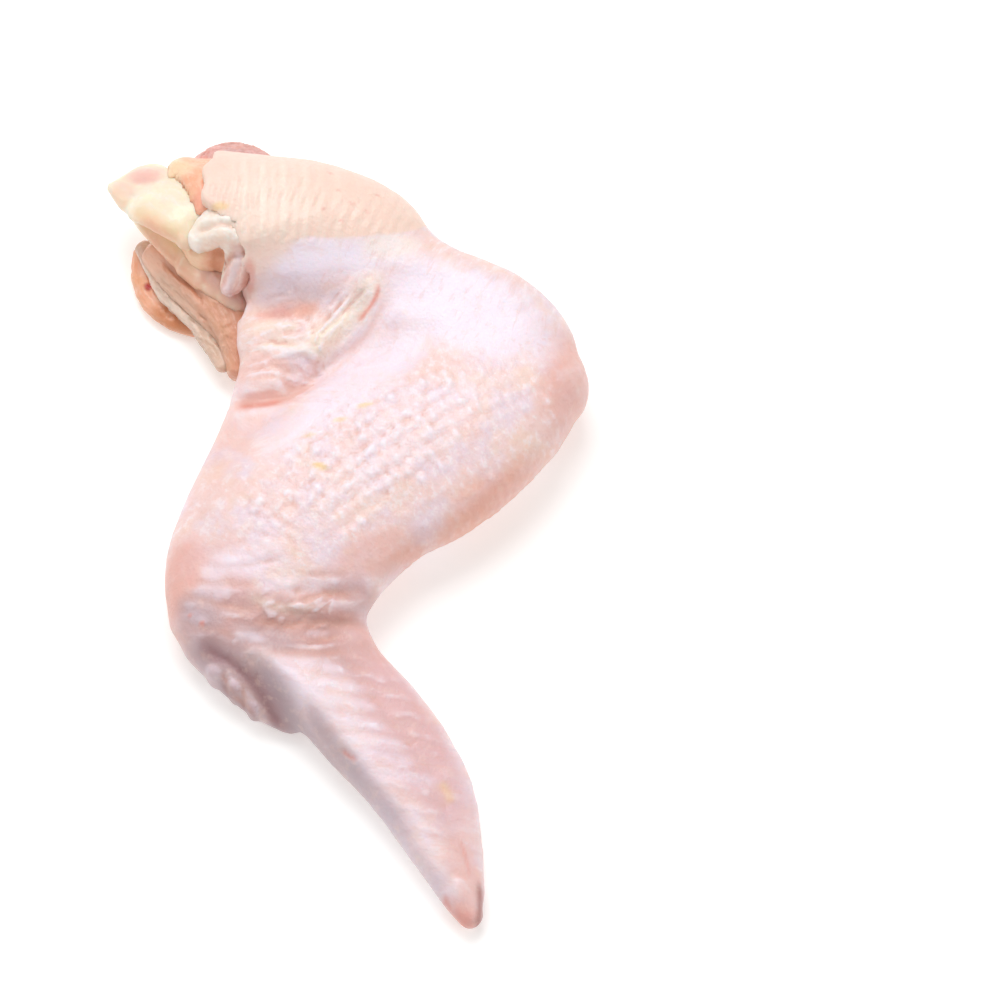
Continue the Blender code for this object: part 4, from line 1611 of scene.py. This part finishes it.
@dataclass
class Membrane(Tissue):
    """The grey-white sheet below the chest meat."""

    node: str = "membrane"
    slot: Slot = Slot.MEMBRANE
    finish: WetFinish = WetFinish(
        "membrane", base=(222, 188, 164), cloud=(212, 174, 150), warm=(222, 182, 154), streak=(232, 206, 188),
        tip=(232, 212, 202), dark_streak_and_shade=(200, 158, 138),
        # Lilac is a painted highlight on the sheet
        tints=((Tint.TAN, (218, 170, 150)), (Tint.LILAC_AND_HIGHLIGHT, (238, 228, 238)), (Tint.CREAM_AND_HIGHLIGHT, (246, 222, 204))),
        # Crease is painted shade in folds and hollows
        stains_shade_and_highlights=((Tint.CREASE, (196, 150, 128)),), roughness=0.28, coat=0.35,
    )
    relief: Relief = Relief(wrinkle=0.35, swell=0.5, swell_size=3.0, seed=7.0)
    grow: float = 0.35
    regions: tuple[Region, ...] = (Region(((-41, 60), (-36, 50), (-29, 42), (-24, 35)), 4.0, 0.22),)
    wrinkled: Marks = (Patch(-33, 48, 18, 8, -50, 0.8),)
    paint: tuple[Layer, ...] = (
        layer(Tint.TAN, Patch(-40.4, 58.6, 3.0, 3.0, 0, 0.8)),
        # Painted highlight on the sheet
        layer(Tint.LILAC_AND_HIGHLIGHT, Patch(-37.6, 54.4, 2.6, 1.2, -60, 0.9)),
        layer(
            Tint.CREAM_AND_HIGHLIGHT, Stroke(0.5, 0.9, ((-42.4, 60), (-40.6, 55.4), (-37.6, 50.4), (-33, 46), (-29.4, 41))),
        ),
    )


@dataclass
class ChestMeat(Tissue):
    """The tan-pink panel of meat below the fat."""

    node: str = "chest_meat"
    slot: Slot = Slot.CHEST
    finish: WetFinish = WetFinish(
        "chest_meat", base=(224, 164, 134), cloud=(216, 152, 122), warm=(226, 166, 130), streak=(234, 182, 158),
        tip=(236, 190, 168), dark_streak_and_shade=(204, 136, 106),
        tints=((Tint.GREY_AND_SHADE, (228, 190, 166)), (Tint.BLUSH_AND_SHADE, (246, 198, 172))),
        # Crease is painted shade in folds and hollows
        stains_shade_and_highlights=((Tint.CREASE, (196, 132, 104)),), coat=0.25,
    )
    relief: Relief = Relief(wrinkle=0.3, swell=0.5, swell_size=4.0, seed=8.0)
    grow: float = 0.3
    folds: tuple[Fold, ...] = (
        Fold(0.6, 0.6, ((-37.8, 57.4), (-34.2, 53.4), (-30.8, 50.4), (-27.6, 46.4)), 0.2, 0.6),
        Fold(0.3, 0.5, ((-31, 47.6), (-27.6, 43), (-24.6, 37.6)), 0.1, 0.3),
    )
    regions: tuple[Region, ...] = (Region(((-41, 61), (-33, 51), (-27, 43), (-22, 33)), 4.5, 0.2),)
    wrinkled: Marks = (Patch(-31, 47, 20, 9, -55, 0.7),)
    paint: tuple[Layer, ...] = (
        layer(
            Tint.GREY_AND_SHADE,
            Stroke(
                2.0, 0.9, ((-42, 60), (-38.4, 54.8), (-34.6, 49.4), (-30.4, 44.4), (-26.4, 38.6), (-24, 33)),
            ),
        ),
        layer(Tint.BLUSH_AND_SHADE, Patch(-38.6, 57.4, 5, 3.4, -50, 0.9)),
    )


@dataclass
class ChestFlap(Tissue):
    """The orange-brown flap at the bottom left, with its blood spot."""

    node: str = "chest_flap"
    slot: Slot = Slot.FLAP
    finish: WetFinish = WetFinish(
        "chest_flap", base=(250, 190, 158), cloud=(246, 178, 142), warm=(246, 178, 132), streak=(240, 188, 162),
        tip=(242, 194, 168), dark_streak_and_shade=(216, 140, 104), tints=((Tint.TAN, (212, 136, 90)),),
        # Crease is painted shade in folds and hollows; rose is the blood spot
        stains_shade_and_highlights=((Tint.CREASE, (206, 134, 98)), (Tint.ROSE, (190, 44, 40))), roughness=0.3, coat=0.25,
    )
    relief: Relief = Relief(wrinkle=0.25, swell=0.4, swell_size=4.0, seed=9.0)
    regions: tuple[Region, ...] = (Region(((-42, 63), (-41, 54), (-36, 47), (-30, 44)), 4.0, 0.25),)
    wrinkled: Marks = (Patch(-38, 53, 14, 8, -50, 0.6),)
    paint: tuple[Layer, ...] = (
        layer(Tint.TAN, Patch(-35, 46.6, 7, 3.4, -30, 0.95)),
        layer(Tint.ROSE, Patch(-40.4, 53.8, 1.4, 1.1, -60, 1.0, 0.7)),
    )


TISSUES = (WingSkin, FatFlap, ArmMeat, ShoulderSlip, Gristle, Membrane, ChestMeat, ChestFlap)


# The studio


@dataclass(frozen=True)
class Lamp:
    """A soft white lamp.

    Attributes:
        name: Its name.
        place: Where it stands, in metres.
        size: How wide it is, in metres.
        power: Its power, in watts.
    """

    name: str
    place: tuple[float, float, float]
    size: float
    power: float

    def build(self) -> None:
        """Hangs the lamp, aimed at the wing."""
        light = bpy.data.lights.new(self.name, "AREA")
        light.size = self.size
        light.energy = self.power
        made = new_object(self.name, light)
        made.location = self.place
        made.rotation_euler = (-Vector(self.place)).to_track_quat("-Z", "Y").to_euler()


@dataclass
class Studio:
    """The table, the lamps and the camera.

    Attributes:
        eye: Where the camera stands, in millimetres.
        target: What it looks at, in millimetres.
        lens: Its focal length, in millimetres.
        sensor: The width of its sensor, in millimetres.
        clip: The nearest and the farthest that it sees, in metres.
        floor: Half the table's width, in metres.
        sky: How bright the room is.
        lamps: The lamps.
    """

    eye: tuple[float, float, float] = (30.77, -320.05, 703.53)
    target: tuple[float, float, float] = (30.77, 3.25, 10.2)
    lens: float = 140.94
    sensor: float = 36.0
    clip: tuple[float, float] = (0.05, 20.0)
    floor: float = 3.0
    sky: float = 0.42
    lamps: tuple[Lamp, ...] = (
        Lamp("key", (-0.08, 0.52, 0.95), 0.6, 5.9),
        Lamp("fill", (0.75, -0.35, 0.7), 0.8, 2.2),
        Lamp("window", (-0.8, 0.1, 0.8), 0.8, 2.4),
    )

    def lay_table(self) -> None:
        """Lays the white table, which glows a little."""
        work = bmesh.new()
        bmesh.ops.create_grid(work, x_segments=1, y_segments=1, size=self.floor)
        mesh = bpy.data.meshes.new("table")
        work.to_mesh(mesh)
        work.free()
        material, graph, shader = new_material("table")
        inputs = {
            "Base Color": (0.8, 0.8, 0.8, 1),
            "Emission Color": (1, 0.985, 0.95, 1),
            "Emission Strength": 0.36,
            "Roughness": 0.9,
            "Specular IOR Level": 0.1,
        }
        graph.feed(shader, inputs)
        mesh.materials.append(material)
        new_object("table", mesh)

    def set_camera(self) -> None:
        """Sets up the camera."""
        lens = bpy.data.cameras.new("camera")
        lens.lens, lens.sensor_width = self.lens, self.sensor
        lens.clip_start, lens.clip_end = self.clip
        made = new_object("camera", lens)
        made.location = Vector(self.eye) * MM
        made.rotation_euler = (Vector(self.target) - Vector(self.eye)).to_track_quat("-Z", "Y").to_euler()
        bpy.context.scene.camera = made

    def build(self) -> None:
        """Sets up the table, the lamps, the room and the camera."""
        self.lay_table()
        for lamp in self.lamps:
            lamp.build()
        world = bpy.data.worlds.new("room")
        world.use_nodes = True
        room = world.node_tree.nodes["Background"]
        Graph(world.node_tree).feed(room, {"Color": (1, 1, 1, 1), "Strength": self.sky})
        bpy.context.scene.world = world
        bpy.context.scene.view_settings.view_transform = "Standard"
        self.set_camera()


def main() -> None:
    """Builds and dresses the wing and sets it in the studio."""
    groups = Groups.made()
    relief = relief_tree()
    for kind in TISSUES:
        tissue = kind()
        finished = tissue.dress(tissue.build(), relief, groups)
        log.info("%s: %d faces", finished.name, len(finished.data.polygons))
    Studio().build()


if __name__ == "__main__":
    logging.basicConfig(level=logging.INFO, format="%(message)s")
    main()
